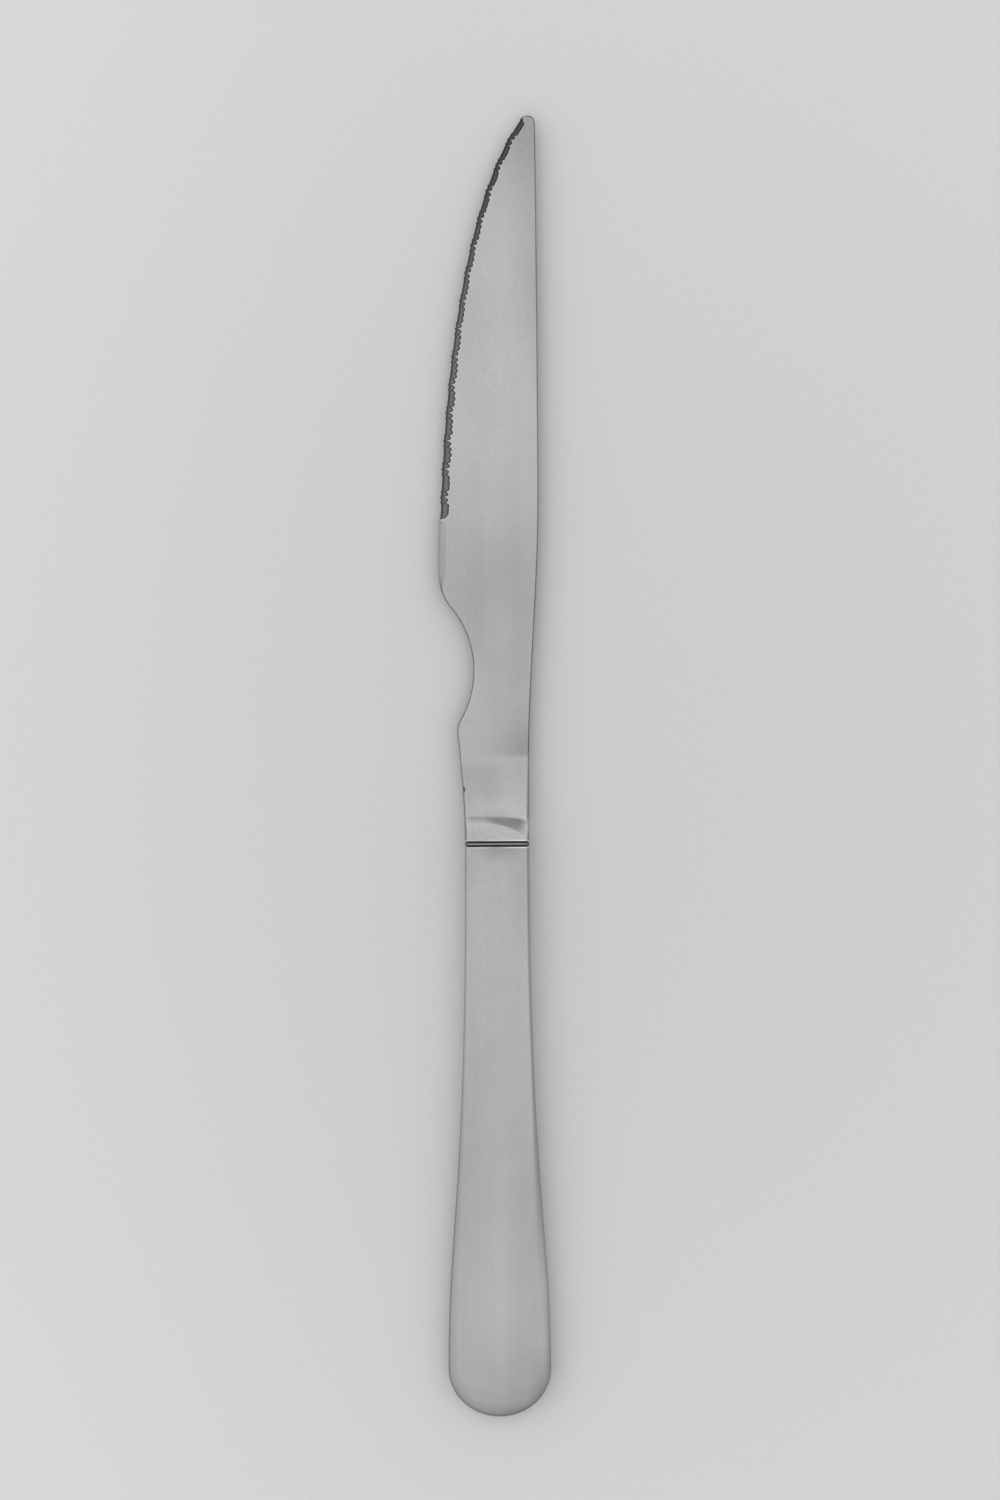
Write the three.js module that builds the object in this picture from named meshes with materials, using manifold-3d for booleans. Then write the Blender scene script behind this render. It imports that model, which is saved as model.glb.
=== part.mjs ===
// Steak knife with a serrated blade, a forged bolster and a hollow handle.
// Modelled along its own axis: +Y to the tip, +X to the spine, +Z out of the front face, with y = 0 in the
// middle of the joint ring. At the end the whole knife is laid on the flat of its back shell.
// Millimetres.

import * as THREE from "three";
import { mergeVertices } from "three/addons/utils/BufferGeometryUtils.js";
import Module from "manifold-3d";

const wasm = await Module();
wasm.setup();

// Overall reach, measured from the joint
const bladeReach = 128.8; // joint to blade tip
const handleReach = 101.2; // joint to butt

// Neck, where blade and handle meet
const neckWidth = 11.35;
const neckThickness = 5.2;
const edgeRounding = 0.6; // rounded long edges of bolster and handle
const leastRounding = 0.2; // what is left of a rounding on the innermost surfaces

// Hollow handle
const buttWidth = 18.1;
const buttThickness = 5.0; // the flats run together a little towards the butt
const buttRound = 8.5; // length of the half ellipse that ends the handle
const buttRoll = 6.5; // how far the flat rolls over at the very end
const crownStart = 35; // joint to where the flats begin to fall off at their edges
const crownRoll = 2.4; // how far the flat rolls over at the widest place
const crownDrop = 1.1; // how deep it rolls there
const neckHandle = 61; // curve handle that keeps the flank straight below the neck
const buttHandle = 25.5; // curve handle that draws the flank out to the butt
const shellWall = 0.7;
const seamThickness = 0.3; // braze between the two shells

// Joint
const ringThickness = 0.36;
const jointGap = 0.3; // dark line on each side of the ring
const fitClearance = 0.3; // spigot in the shells, cement round the tang
const spigotLength = 4.5;

// Tang inside the handle
const tangWidth = 6.2;
const tangThickness = 1.6;
const tangReach = 62; // joint to tang end
const notchRadius = 1.2; // notches that key the tang into the cement
const notchPitch = 13;
const firstNotch = 18; // joint to first notch

// Bolster
const landLength = 3.65; // joint to the step
const landSweep = 2.6; // how far the step cuts into the land at the spine
const sweepPower = 3; // keeps that cut close to the spine
const stepReach = 4.8; // joint to the foot of the step
const stepAtBelly = 0.33; // height of the step, low at the belly and high at the spine
const stepAtSpine = 0.95;
const stepRise = [0.25, 0.85]; // it grows between these shares of the width
const coveReach = 15.7; // joint to the end of the cove, where the flat blade begins
const coveBlend = 2.5; // soft start of the cove

// Blade outline
const spineOffset = 7.65; // straight spine above the axis
const spineClimbStart = 12; // the spine climbs out of the neck between these two places
const spineClimbEnd = 62;
const spineDrop = 0.3; // slight fall of the spine towards the tip
const spurLength = 5.2; // end of the cove to the spur
const spurRise = 1.35; // how far the belly swells out to the spur
const spurPower = 1.6; // how late it swells
const spurRounding = 1.3;
const choilLength = 23.1; // spur to heel
const choilRadius = 17.5;
const heelRounding = 4.0;
const bladeDepth = 10.13; // cutting edge below the axis at the heel
const edgeHeelHandle = 12; // curve handles of the cutting edge
const edgeTipHandle = 22.4;
const edgeTipAngle = THREE.MathUtils.degToRad(37.3);
const tipOffset = 5.2; // end of the cutting edge above the axis
const noseLength = 1.6; // blunt rounded end of the spine
const noseDrop = 0.1; // end of the cutting edge below the very tip
const noseCrown = 0.45; // how full the nose curve is

// Blade thickness: each face is one flat grind through these three places
const spineThicknessCove = 1.75;
const spineThicknessTip = 1.05;
const edgeThickness = 0.95;

// Serrations, ground into the front face only
const plainEdge = 9.4; // plain edge at the heel
const gulletPitch = 1.0;
const wideGullets = 3; // gullets that run together into one wide scallop
const narrowGullets = 2; // single gullets between two wide scallops
const wideReach = 1.28; // how far the gullets run in from the edge
const narrowReach = 1.15;
const rippleReach = 1.12; // faint ridges inside a wide scallop
const rippleStart = 10; // the ridges fade out towards the heel and the tip
const rippleEnd = 54;
const sideToothReach = 0.8;
const mainToothReach = 0.42;
const wideNotch = 0.24; // how far the gullets set the edge back from the main teeth
const narrowNotch = 0.17;
const rippleNotch = 0.21;
const sideToothNotch = 0.09;
const toothLine = 0.13; // main teeth stand this far out from the mean edge
const tipShare = 0.88; // gullets shrink to this share at the thin tip
const heelRunOut = 1.25; // rounded ends of the serrated stretch
const tipRunOut = 0.5;

// Smoothness of the facets
const filletSteps = 5;
const flankSteps = 16;
const buttSteps = 10;
const coveSteps = 10;
const coveSpans = 12;
const choilSteps = 18;
const blendSteps = 5;
const climbSteps = 20;
const gulletSteps = 6;
const weldDistance = 1e-4;

// Places that follow from the sizes above
const neckHalf = neckWidth / 2;
const landHeight = neckThickness / 2;
const jointFace = ringThickness / 2 + jointGap;
const mouth = -jointFace;
const spigotRoot = (jointFace + landLength) / 2;
const spigotEnd = mouth - spigotLength;
const spurReach = coveReach + spurLength;
const heelReach = spurReach + choilLength;
const edgeStart = heelReach + heelRounding;
const handleTaper = (neckThickness - buttThickness) / 2 / (handleReach + mouth);
const gulletsPerRun = wideGullets + narrowGullets;
const rippleFade = gulletsPerRun * gulletPitch;
const QUARTER = Math.PI / 2;

const { lerp, smoothstep } = THREE.MathUtils;
const place = (x, y) => new THREE.Vector2(x, y);
const point = (x, y, z) => new THREE.Vector3(x, y, z);

// Numbers from 0 to 1 in even steps
function shares(steps) {
  return Array.from({ length: steps + 1 }, (_, i) => i / steps);
}

// Triangles that are welded into one closed surface
class Skin {
  corners = [];

  triangle(a, b, c) {
    this.corners.push(a, b, c);
  }

  // Flat face inside an outline, counter-clockwise in the two named axes
  face(outline, across, up, flipped) {
    const flat = outline.map((p) => place(p[across], p[up]));
    for (const [i, j, k] of THREE.ShapeUtils.triangulateShape(flat, [])) {
      if (flipped) this.triangle(outline[k], outline[j], outline[i]);
      else this.triangle(outline[i], outline[j], outline[k]);
    }
  }

  // Band between two rows of points, with its outside on the right of the way they run
  band(lower, upper) {
    for (let i = 0; i + 1 < lower.length; i++) {
      this.triangle(lower[i], lower[i + 1], upper[i + 1]);
      this.triangle(lower[i], upper[i + 1], upper[i]);
    }
  }

  // Shared corners are merged, and triangles that have shrunk to a line are dropped
  geometry() {
    const loose = new THREE.BufferGeometry().setFromPoints(this.corners);
    const welded = mergeVertices(loose, weldDistance);
    const kept = [];
    for (let i = 0; i < welded.index.count; i += 3) {
      const [a, b, c] = [0, 1, 2].map((k) => welded.index.getX(i + k));
      if (a !== b && b !== c && c !== a) kept.push(a, b, c);
    }
    return welded.setIndex(kept);
  }
}

// A closed geometry as a solid that can be joined and cut
function solid(geometry) {
  const bare = geometry.clone();
  bare.deleteAttribute("normal");
  bare.deleteAttribute("uv");
  const welded = mergeVertices(bare, weldDistance);
  const mesh = new wasm.Mesh({
    numProp: 3,
    vertProperties: new Float32Array(welded.attributes.position.array),
    triVerts: new Uint32Array(welded.index.array),
  });
  return new wasm.Manifold(mesh);
}

function surface(body) {
  const mesh = body.getMesh();
  const geometry = new THREE.BufferGeometry();
  geometry.setAttribute("position", new THREE.BufferAttribute(mesh.vertProperties, 3));
  return geometry.setIndex(new THREE.BufferAttribute(mesh.triVerts, 1));
}

// Blade outline: the spine on the +X side, the belly of the bolster on the -X side
function spineAt(y) {
  const climb = smoothstep(y, spineClimbStart, spineClimbEnd);
  const fall = Math.max(0, (y - spineClimbEnd) / (bladeReach - spineClimbEnd));
  return lerp(neckHalf, spineOffset, climb) - spineDrop * fall ** 2;
}

function bellyAt(y) {
  return -neckHalf - spurRise * Math.max(0, (y - jointFace) / (spurReach - jointFace)) ** spurPower;
}

// Front face of the blade: one plane through the spine at the cove, the spine at the tip and the heel
const facePlane = new THREE.Plane().setFromCoplanarPoints(
  point(spineAt(coveReach), coveReach, spineThicknessCove / 2),
  point(spineAt(bladeReach), bladeReach, spineThicknessTip / 2),
  point(-bladeDepth, edgeStart, edgeThickness / 2),
);

function faceAt(x, y) {
  const { normal, constant } = facePlane;
  return -(normal.x * x + normal.y * y + constant) / normal.z;
}

// Cutting edge, from the heel to the tip
const edgeEnd = place(tipOffset, bladeReach - noseDrop);
const edgeCurve = new THREE.CubicBezierCurve(
  place(-bladeDepth, edgeStart),
  place(-bladeDepth, edgeStart + edgeHeelHandle),
  place(
    edgeEnd.x - edgeTipHandle * Math.sin(edgeTipAngle),
    edgeEnd.y - edgeTipHandle * Math.cos(edgeTipAngle),
  ),
  edgeEnd,
);

// Ridges between gullets: side teeth frame a wide scallop, faint ripples cross it, and main teeth stand
// between the narrow gullets
function ridgeLevel(index, levels) {
  const at = index % gulletsPerRun;
  if (at === 0 || at === wideGullets) return levels.side;
  if (at > wideGullets) return levels.main;
  const distance = index * gulletPitch;
  const fadingIn = smoothstep(distance, rippleStart - rippleFade, rippleStart);
  const fadingOut = smoothstep(distance, rippleEnd, rippleEnd + rippleFade);
  return lerp(levels.wide, levels.ripple, fadingIn - fadingOut);
}

// Level of the ground surface, so many gullets along the edge: ridge to ridge through a round bottom
function gulletLevel(along, levels) {
  const index = Math.floor(along);
  const share = along - index;
  const ridge = lerp(ridgeLevel(index, levels), ridgeLevel(index + 1, levels), share);
  const bottom = index % gulletsPerRun < wideGullets ? levels.wide : levels.narrow;
  return lerp(ridge, bottom, Math.sqrt(1 - (2 * share - 1) ** 2));
}

const reachLevels = {
  wide: wideReach, narrow: narrowReach, ripple: rippleReach, side: sideToothReach, main: mainToothReach,
};
const notchLevels = {
  wide: wideNotch, narrow: narrowNotch, ripple: rippleNotch, side: sideToothNotch, main: 0,
};

// A place on the outline, with its point on the front face and its point on the back face
function station(front, back = front) {
  return {
    front: point(front.x, front.y, faceAt(front.x, front.y)),
    back: point(back.x, back.y, -faceAt(back.x, back.y)),
  };
}

// Serrated stretch, from the tip back towards the heel
function serratedStations() {
  const whole = edgeCurve.getLength();
  const length = whole - plainEdge;
  const step = gulletPitch / gulletSteps;
  const stations = [];
  for (let i = Math.floor(length / step - 0.5); i > 0; i--) {
    const distance = i * step;
    const edge = edgeCurve.getPointAt((plainEdge + distance) / whole);
    const along = edgeCurve.getTangentAt((plainEdge + distance) / whole);
    const inward = place(along.y, -along.x);
    const end = Math.min(1, distance / heelRunOut, (length - distance) / tipRunOut);
    const fade = Math.sqrt(1 - (1 - end) ** 2);
    const shrink = lerp(1, tipShare, (distance / length) ** 2);
    const reach = gulletLevel(i / gulletSteps, reachLevels) * shrink * fade;
    const setBack = (gulletLevel(i / gulletSteps, notchLevels) - toothLine) * fade;
    stations.push(station(
      edge.clone().addScaledVector(inward, reach),
      edge.clone().addScaledVector(inward, setBack),
    ));
  }
  return stations;
}

// Spine from the end of the cove to the rounded nose
function spineStations() {
  const noseStart = bladeReach - noseLength;
  const onSpine = (y) => place(spineAt(y), y);
  const climb = shares(climbSteps).map((share) => onSpine(lerp(coveReach, spineClimbEnd, share)));
  const straight = shares(blendSteps).map((share) => onSpine(lerp(spineClimbEnd, noseStart, share)));
  const nose = new THREE.QuadraticBezierCurve(
    onSpine(noseStart), place(spineAt(noseStart), bladeReach + noseCrown), edgeEnd,
  );
  const places = [...climb, ...straight.slice(1), ...nose.getPoints(2 * blendSteps).slice(1)];
  return places.map((p) => station(p));
}

// Plain edge, heel, finger choil, spur and belly, back to the end of the cove
function choilStations() {
  const spur = place(bellyAt(spurReach), spurReach);
  const heel = place(-bladeDepth, heelReach);
  const chord = heel.clone().sub(spur);
  const outward = place(-chord.y, chord.x).normalize();
  const rise = Math.sqrt(choilRadius ** 2 - chord.lengthSq() / 4);
  const centre = heel.clone().add(spur).multiplyScalar(0.5).addScaledVector(outward, rise);
  const angleOf = (p) => Math.atan2(p.y - centre.y, p.x - centre.x);
  const choil = new THREE.EllipseCurve(
    centre.x, centre.y, choilRadius, choilRadius,
    angleOf(heel) - heelRounding / choilRadius, angleOf(spur) + spurRounding / choilRadius, true,
  );
  const heelBlend = new THREE.QuadraticBezierCurve(edgeCurve.getPoint(0), heel, choil.getPoint(0));
  const bellyTop = spurReach - spurRounding;
  const spurBlend = new THREE.QuadraticBezierCurve(
    choil.getPoint(1), spur, place(bellyAt(bellyTop), bellyTop),
  );
  const plainShare = plainEdge / edgeCurve.getLength();
  const plain = shares(blendSteps).map((share) => edgeCurve.getPointAt(plainShare * (1 - share)));
  const belly = shares(blendSteps).map((share) => {
    const y = lerp(bellyTop, coveReach, share);
    return place(bellyAt(y), y);
  });
  const places = [
    ...plain,
    ...heelBlend.getPoints(blendSteps).slice(1),
    ...choil.getPoints(choilSteps).slice(1),
    ...spurBlend.getPoints(blendSteps).slice(1),
    ...belly.slice(1),
  ];
  return places.map((p) => station(p));
}

// The cove is a ramp with a soft start, from the flat blade up to the foot of the step.
// Share 0 is the flat blade and 1 the foot; side 0 is the belly and 1 the spine.
function coveCell(share, side) {
  const soften = (run) => (run < coveBlend ? run ** 2 / (2 * coveBlend) : run - coveBlend / 2);
  const faceBeside = (y) => faceAt(lerp(bellyAt(y), spineAt(y), side), y);
  const whole = coveReach - stepReach;
  const climb = soften(whole * share) / soften(whole);
  const y = coveReach - whole * share;
  const step = lerp(stepAtBelly, stepAtSpine, smoothstep(side, ...stepRise));
  const rise = landHeight - step - faceBeside(stepReach);
  return { y, height: faceBeside(y) + rise * climb, rounding: edgeRounding * climb };
}

// The step climbs to the land, and cuts into it towards the spine
function landCell(side) {
  return { y: landLength - landSweep * side ** sweepPower, height: landHeight, rounding: edgeRounding };
}

function jointCell() {
  return { y: jointFace, height: landHeight, rounding: edgeRounding };
}

// Closed row of points round the bolster, from the front at the belly, over the spine, back along the
// other face; a cell gives the height and the edge rounding at each side
function bolsterRow(cellAt) {
  const corner = (side, facing, from) => {
    const { y, height, rounding } = cellAt(side);
    const x = side === 0 ? bellyAt(y) + rounding : spineAt(y) - rounding;
    return shares(filletSteps).map((share) => {
      const angle = from - QUARTER * share;
      const z = (height - rounding) * facing + rounding * Math.sin(angle);
      return point(x + rounding * Math.cos(angle), y, z);
    });
  };
  const level = (facing) => shares(coveSpans).slice(1, -1).map((side) => {
    const { y, height, rounding } = cellAt(side);
    return point(lerp(bellyAt(y) + rounding, spineAt(y) - rounding, side), y, height * facing);
  });
  const front = level(1);
  const back = level(-1).reverse();
  const row = [
    ...corner(0, 1, 2 * QUARTER), ...front, ...corner(1, 1, QUARTER),
    ...corner(1, -1, 0), ...back, ...corner(0, -1, -QUARTER),
  ];
  return { row, front, back };
}

// Blade and bolster in one skin: two flat faces, the walls with the ground serrations, cove and land
function bladeGeometry() {
  const skin = new Skin();
  const stations = [...spineStations(), ...serratedStations(), ...choilStations()];
  const fronts = stations.map((s) => s.front);
  const backs = stations.map((s) => s.back);
  skin.band(backs, fronts);

  const cove = shares(coveSteps).map((share) => bolsterRow((side) => coveCell(share, side)));
  const rows = [...cove, bolsterRow(landCell), bolsterRow(jointCell)].map(({ row }) => row);
  for (let i = 0; i + 1 < rows.length; i++) {
    skin.band([...rows[i + 1], rows[i + 1][0]], [...rows[i], rows[i][0]]);
  }
  skin.face(rows[rows.length - 1], "x", "z", false);
  skin.face([...fronts, ...cove[0].front], "x", "y", false);
  skin.face([...backs, ...cove[0].back.slice().reverse()], "x", "y", true);
  return skin.geometry();
}

// Rounded section of the neck, drawn in by an inset
function neckSection(inset) {
  const rounding = Math.max(edgeRounding - inset, leastRounding);
  const x = neckHalf - inset - rounding;
  const z = landHeight - inset - rounding;
  const section = new THREE.Shape();
  section.absarc(x, z, rounding, 0, QUARTER, false);
  section.absarc(-x, z, rounding, QUARTER, 2 * QUARTER, false);
  section.absarc(-x, -z, rounding, 2 * QUARTER, 3 * QUARTER, false);
  section.absarc(x, -z, rounding, 3 * QUARTER, 4 * QUARTER, false);
  return section;
}

// Such a section extruded along the knife between two places
function neckBar(section, low, high) {
  const options = { depth: high - low, bevelEnabled: false, curveSegments: filletSteps };
  return new THREE.ExtrudeGeometry(section, options).rotateX(QUARTER).translate(0, high, 0);
}

// Flat bar with round notches along both edges and a round end; growth makes the pocket that fits it
function tangGeometry(growth) {
  const half = tangWidth / 2;
  const reach = half + growth;
  const radius = notchRadius - growth;
  const lean = Math.asin(growth / radius);
  const lastNotch = tangReach - half - notchRadius;
  const notches = [];
  for (let y = firstNotch; y < lastNotch; y += notchPitch) notches.push(-y);
  const shape = new THREE.Shape();
  shape.moveTo(reach, spigotRoot);
  shape.lineTo(-reach, spigotRoot);
  for (const y of notches) shape.absarc(-half, y, radius, QUARTER + lean, -QUARTER - lean, true);
  shape.absarc(0, half - tangReach, reach, 2 * QUARTER, 4 * QUARTER, false);
  for (const y of notches.reverse()) {
    shape.absarc(half, y, radius, 3 * QUARTER + lean, QUARTER - lean, true);
  }
  const depth = tangThickness + 2 * growth;
  const options = { depth, bevelEnabled: false, curveSegments: 2 * filletSteps };
  return new THREE.ExtrudeGeometry(shape, options).translate(0, 0, -depth / 2);
}

// One side of the handle outline from the butt up to the neck, with the outward direction at each place
function handleSide() {
  const side = new THREE.Path();
  const buttHalf = buttWidth / 2;
  const shoulder = buttRound - handleReach;
  side.absellipse(0, shoulder, buttHalf, buttRound, -QUARTER, 0, false);
  side.bezierCurveTo(buttHalf, shoulder + buttHandle, neckHalf, mouth - neckHandle, neckHalf, mouth);
  const [butt, flank] = side.curves;
  const along = (curve, share) => {
    const run = curve.getTangent(share);
    return { at: curve.getPoint(share), outward: place(run.y, -run.x) };
  };
  return [
    ...shares(buttSteps).map((share) => along(butt, share)),
    ...shares(flankSteps).slice(1).map((share) => along(flank, share)),
  ];
}

// Closed body of the handle, drawn in by an inset, with rounded long edges and a rolled-over butt;
// overrun lengthens it past the mouth
function handleBody(inset, overrun) {
  const right = handleSide();
  if (overrun > 0) right.push({ at: place(neckHalf, mouth + overrun), outward: place(1, 0) });
  const left = right.slice(1).reverse().map(({ at, outward }) => (
    { at: place(-at.x, at.y), outward: place(-outward.x, outward.y) }
  ));
  const outline = [...left, ...right];
  const rowAt = (facing, angle) => outline.map(({ at, outward }) => {
    const crown = smoothstep(-at.y, crownStart, handleReach - buttRound);
    const flankRoll = lerp(edgeRounding, crownRoll, crown);
    const roll = lerp(flankRoll, buttRoll, Math.max(0, -outward.y) ** 2);
    const drop = Math.max(lerp(edgeRounding, crownDrop, crown) - inset, leastRounding);
    const sweep = inset + Math.max(roll - inset, leastRounding) * (1 - Math.sin(angle));
    const { x, y } = at.clone().addScaledVector(outward, -sweep);
    const flat = landHeight - inset + handleTaper * (y - mouth);
    return point(x, y, facing * (flat - drop * (1 - Math.cos(angle))));
  });
  const front = shares(filletSteps).map((share) => rowAt(1, QUARTER * share));
  const back = shares(filletSteps).map((share) => rowAt(-1, QUARTER * (1 - share)));
  const rows = [...front, ...back];

  const skin = new Skin();
  skin.face(rows[0], "x", "y", false);
  skin.face(rows[rows.length - 1], "x", "y", true);
  for (let i = 0; i + 1 < rows.length; i++) skin.band(rows[i + 1], rows[i]);
  const rightEnd = rows.map((row) => row[row.length - 1]);
  const leftEnd = rows.map((row) => row[0]);
  skin.face([...rightEnd, ...leftEnd.reverse()], "x", "z", true);
  return solid(skin.geometry());
}

// Everything of the handle below a height, as a cutting block
function below(height) {
  const low = point(-buttWidth, -handleReach - buttRound, -neckThickness);
  const size = point(buttWidth, 0, height).sub(low);
  const box = new THREE.BoxGeometry(size.x, size.y, size.z);
  return solid(box.translate(low.x + size.x / 2, low.y + size.y / 2, low.z + size.z / 2));
}

// Forging: blade and bolster with the spigot and the notched tang behind them
const spigot = solid(neckBar(neckSection(shellWall + fitClearance), spigotEnd, spigotRoot));
const forging = solid(bladeGeometry()).add(spigot).add(solid(tangGeometry(0)));

// Ring round the spigot
const ringSection = neckSection(0);
ringSection.holes.push(neckSection(shellWall));
const ring = neckBar(ringSection, -ringThickness / 2, ringThickness / 2);

// Pressed tube of the handle, parted along the seam into two shells and the braze between them
const tube = handleBody(0, 0).subtract(handleBody(shellWall, jointGap));
const frontShell = tube.subtract(below(seamThickness / 2));
const backShell = tube.intersect(below(-seamThickness / 2));
const seam = tube.intersect(below(seamThickness / 2)).subtract(below(-seamThickness / 2));

// Cement in the hollow behind the spigot, cast round the tang
const filler = handleBody(shellWall + fitClearance, 0)
  .subtract(solid(neckBar(neckSection(0), spigotEnd - fitClearance, 0)))
  .subtract(solid(tangGeometry(fitClearance)));

// Finishes and the assembled knife
const satinSteel = { color: 0xb9b8b4, metalness: 1.0, roughness: 0.34 };
const groundSteel = { color: 0xa9a8a4, metalness: 1.0, roughness: 0.42 };
const braze = { color: 0xb4ab98, metalness: 1.0, roughness: 0.4 };
const cement = { color: 0x8d867b, metalness: 0.0, roughness: 0.95 };

const knife = new THREE.Group();

function addPiece(name, geometry, finish) {
  geometry.computeVertexNormals();
  const piece = new THREE.Mesh(geometry, new THREE.MeshStandardMaterial(finish));
  piece.name = name;
  knife.add(piece);
}

addPiece("forged_blade", surface(forging), satinSteel);
addPiece("joint_ring", ring, groundSteel);
addPiece("front_handle_shell", surface(frontShell), satinSteel);
addPiece("back_handle_shell", surface(backShell), satinSteel);
addPiece("seam_braze", surface(seam), braze);
addPiece("handle_filler", surface(filler), cement);

// The knife lies on the flat of its back shell, with the origin under the middle of its outline
knife.rotation.x = Math.atan(handleTaper);
knife.updateMatrixWorld(true);
const extent = new THREE.Box3().setFromObject(knife, true);
const middle = extent.getCenter(point(0, 0, 0));
knife.position.set(-middle.x, -middle.y, -extent.min.z);

export default knife;
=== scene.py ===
"""Finished look of a serrated steak knife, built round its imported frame.

Metres, in the frame's own axes: +Y to the blade tip, +X to the spine, +Z out of the front face. The pieces
are drawn along the knife's axis, with y = 0 in the middle of the joint ring, and then laid where the frame
has them.
"""

import math
from collections import namedtuple

import bmesh
import bpy
from bpy.props import FloatProperty, FloatVectorProperty, IntProperty, PointerProperty
from bpy.types import Operator, Panel, PropertyGroup
from mathutils import Matrix, Vector
from mathutils.geometry import interpolate_bezier


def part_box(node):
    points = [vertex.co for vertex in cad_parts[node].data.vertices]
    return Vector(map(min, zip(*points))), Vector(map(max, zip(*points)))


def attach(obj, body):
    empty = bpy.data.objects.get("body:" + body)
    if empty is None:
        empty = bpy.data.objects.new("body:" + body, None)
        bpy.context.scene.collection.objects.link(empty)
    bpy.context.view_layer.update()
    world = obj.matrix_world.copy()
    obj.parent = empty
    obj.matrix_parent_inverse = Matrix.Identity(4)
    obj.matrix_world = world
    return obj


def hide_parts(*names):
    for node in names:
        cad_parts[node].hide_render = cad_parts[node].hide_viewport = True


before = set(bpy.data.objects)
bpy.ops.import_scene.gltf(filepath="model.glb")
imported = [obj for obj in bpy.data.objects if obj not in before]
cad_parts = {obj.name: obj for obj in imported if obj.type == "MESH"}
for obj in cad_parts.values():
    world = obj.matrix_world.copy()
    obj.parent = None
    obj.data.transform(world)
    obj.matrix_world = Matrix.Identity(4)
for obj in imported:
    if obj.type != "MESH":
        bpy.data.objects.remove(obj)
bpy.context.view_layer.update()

bl_info = {
    "name": "Serrated Steak Knife",
    "version": (1, 0, 0),
    "blender": (4, 5, 0),
    "location": "View3D > Sidebar > Knife",
    "description": "Builds the finished pieces of a hollow-handle steak knife on its frame",
    "category": "Object",
}

MM = 0.001
QUARTER = math.pi / 2

# Steps along curves and rows across surfaces
ARRIS_STEPS = 5
COVE_ROWS = 44
STEP_ROWS = 8
COVE_SPANS = 32
CLIMB_STEPS = 80
BLEND_STEPS = 20
CHOIL_STEPS = 64
EDGE_POINTS = 400
EDGE_RESOLUTION = 512
GULLET_STEPS = 10
BUTT_STEPS = 48
FLANK_STEPS = 64
FILLET_STEPS = 10
NOTCH_STEPS = 8

# Points closer than this are one, and faces that meet at a larger angle keep a sharp edge
WELD = 1e-7
SHARP_ANGLE = math.radians(29)

# Least share of a rounded edge that is left where it runs out
LEAST_EASE = 0.05

# Where along a broken edge of the ring it bends, and how square the dent in the bolster is
BEND_SHARE = 1 / 3
DENT_POWER = 4

# Rows of points over the edge of the blade, front face to back face, and where its wall begins
ROWS_ACROSS = 2 * (ARRIS_STEPS + 1)
WALL_STEP = 2

# Columns of the serrations over which the run of the edge is averaged
RIM_SPAN = 40

# Shares of the serrated edge over which the gullets lose their extra reach, and tooth line at heel and tip
SWELL_RUN = (0.1, 0.65)
TOOTH_LINE_SHARES = (0.3, 1.2)

# Places at the end of the handle's outline that lie on its polished rim, which carries a painted highlight
RIM_STATIONS = 3

# Soft patch of painted shade in the satin's colour, or of painted highlight where its depth is negative, in
# millimetres: its middle, half its width and length, its depth, and the place along the knife where it sets
# in, which is behind the butt unless it is given
BEHIND_BUTT = -1000.0
PaintedShade = namedtuple("PaintedShade", "x y width length depth start", defaults=(BEHIND_BUTT,))

# Length over which a shade sets in
SHADE_RISE = 1.0

# Painted shade on the blade and bolster, patches that stand in for reflections and shadow in the satin; a
# negative depth is a painted highlight
BLADE_PAINTED_SHADES = {
    "tip": PaintedShade(6.5, 114.0, 9.0, 11.0, 0.25),
    "spine": PaintedShade(8.4, 88.0, 2.8, 22.0, 0.13),
    "teeth": PaintedShade(-5.0, 84.0, 3.0, 7.0, 0.06),
    "heel": PaintedShade(-3.0, 31.0, 16.0, 13.0, 0.17),
    "back": PaintedShade(9.0, 28.0, 5.0, 24.0, 0.09),
    "choil": PaintedShade(2.0, 12.0, 14.0, 12.0, 0.10),
    "cove": PaintedShade(6.6, 2.6, 6.4, 6.0, 0.27, 1.2),
    "middle": PaintedShade(4.0, 65.0, 6.0, 13.0, -0.05),
    "spur": PaintedShade(-5.0, 14.0, 3.0, 4.5, -0.11),
    "behind the heel": PaintedShade(1.5, 24.5, 3.0, 6.0, -0.06),
    "ramp": PaintedShade(0.5, -1.5, 12.0, 3.0, 0.04),
    "foot of the ramp": PaintedShade(-0.2, -7.4, 4.4, 1.6, -0.15),
    "step at the spine": PaintedShade(6.0, -10.8, 1.15, 1.45, -0.75),
    "step at the belly": PaintedShade(-5.3, -9.9, 1.3, 1.6, -0.12),
    "land at the belly": PaintedShade(-4.0, -12.2, 2.8, 1.2, 0.08),
}

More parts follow.
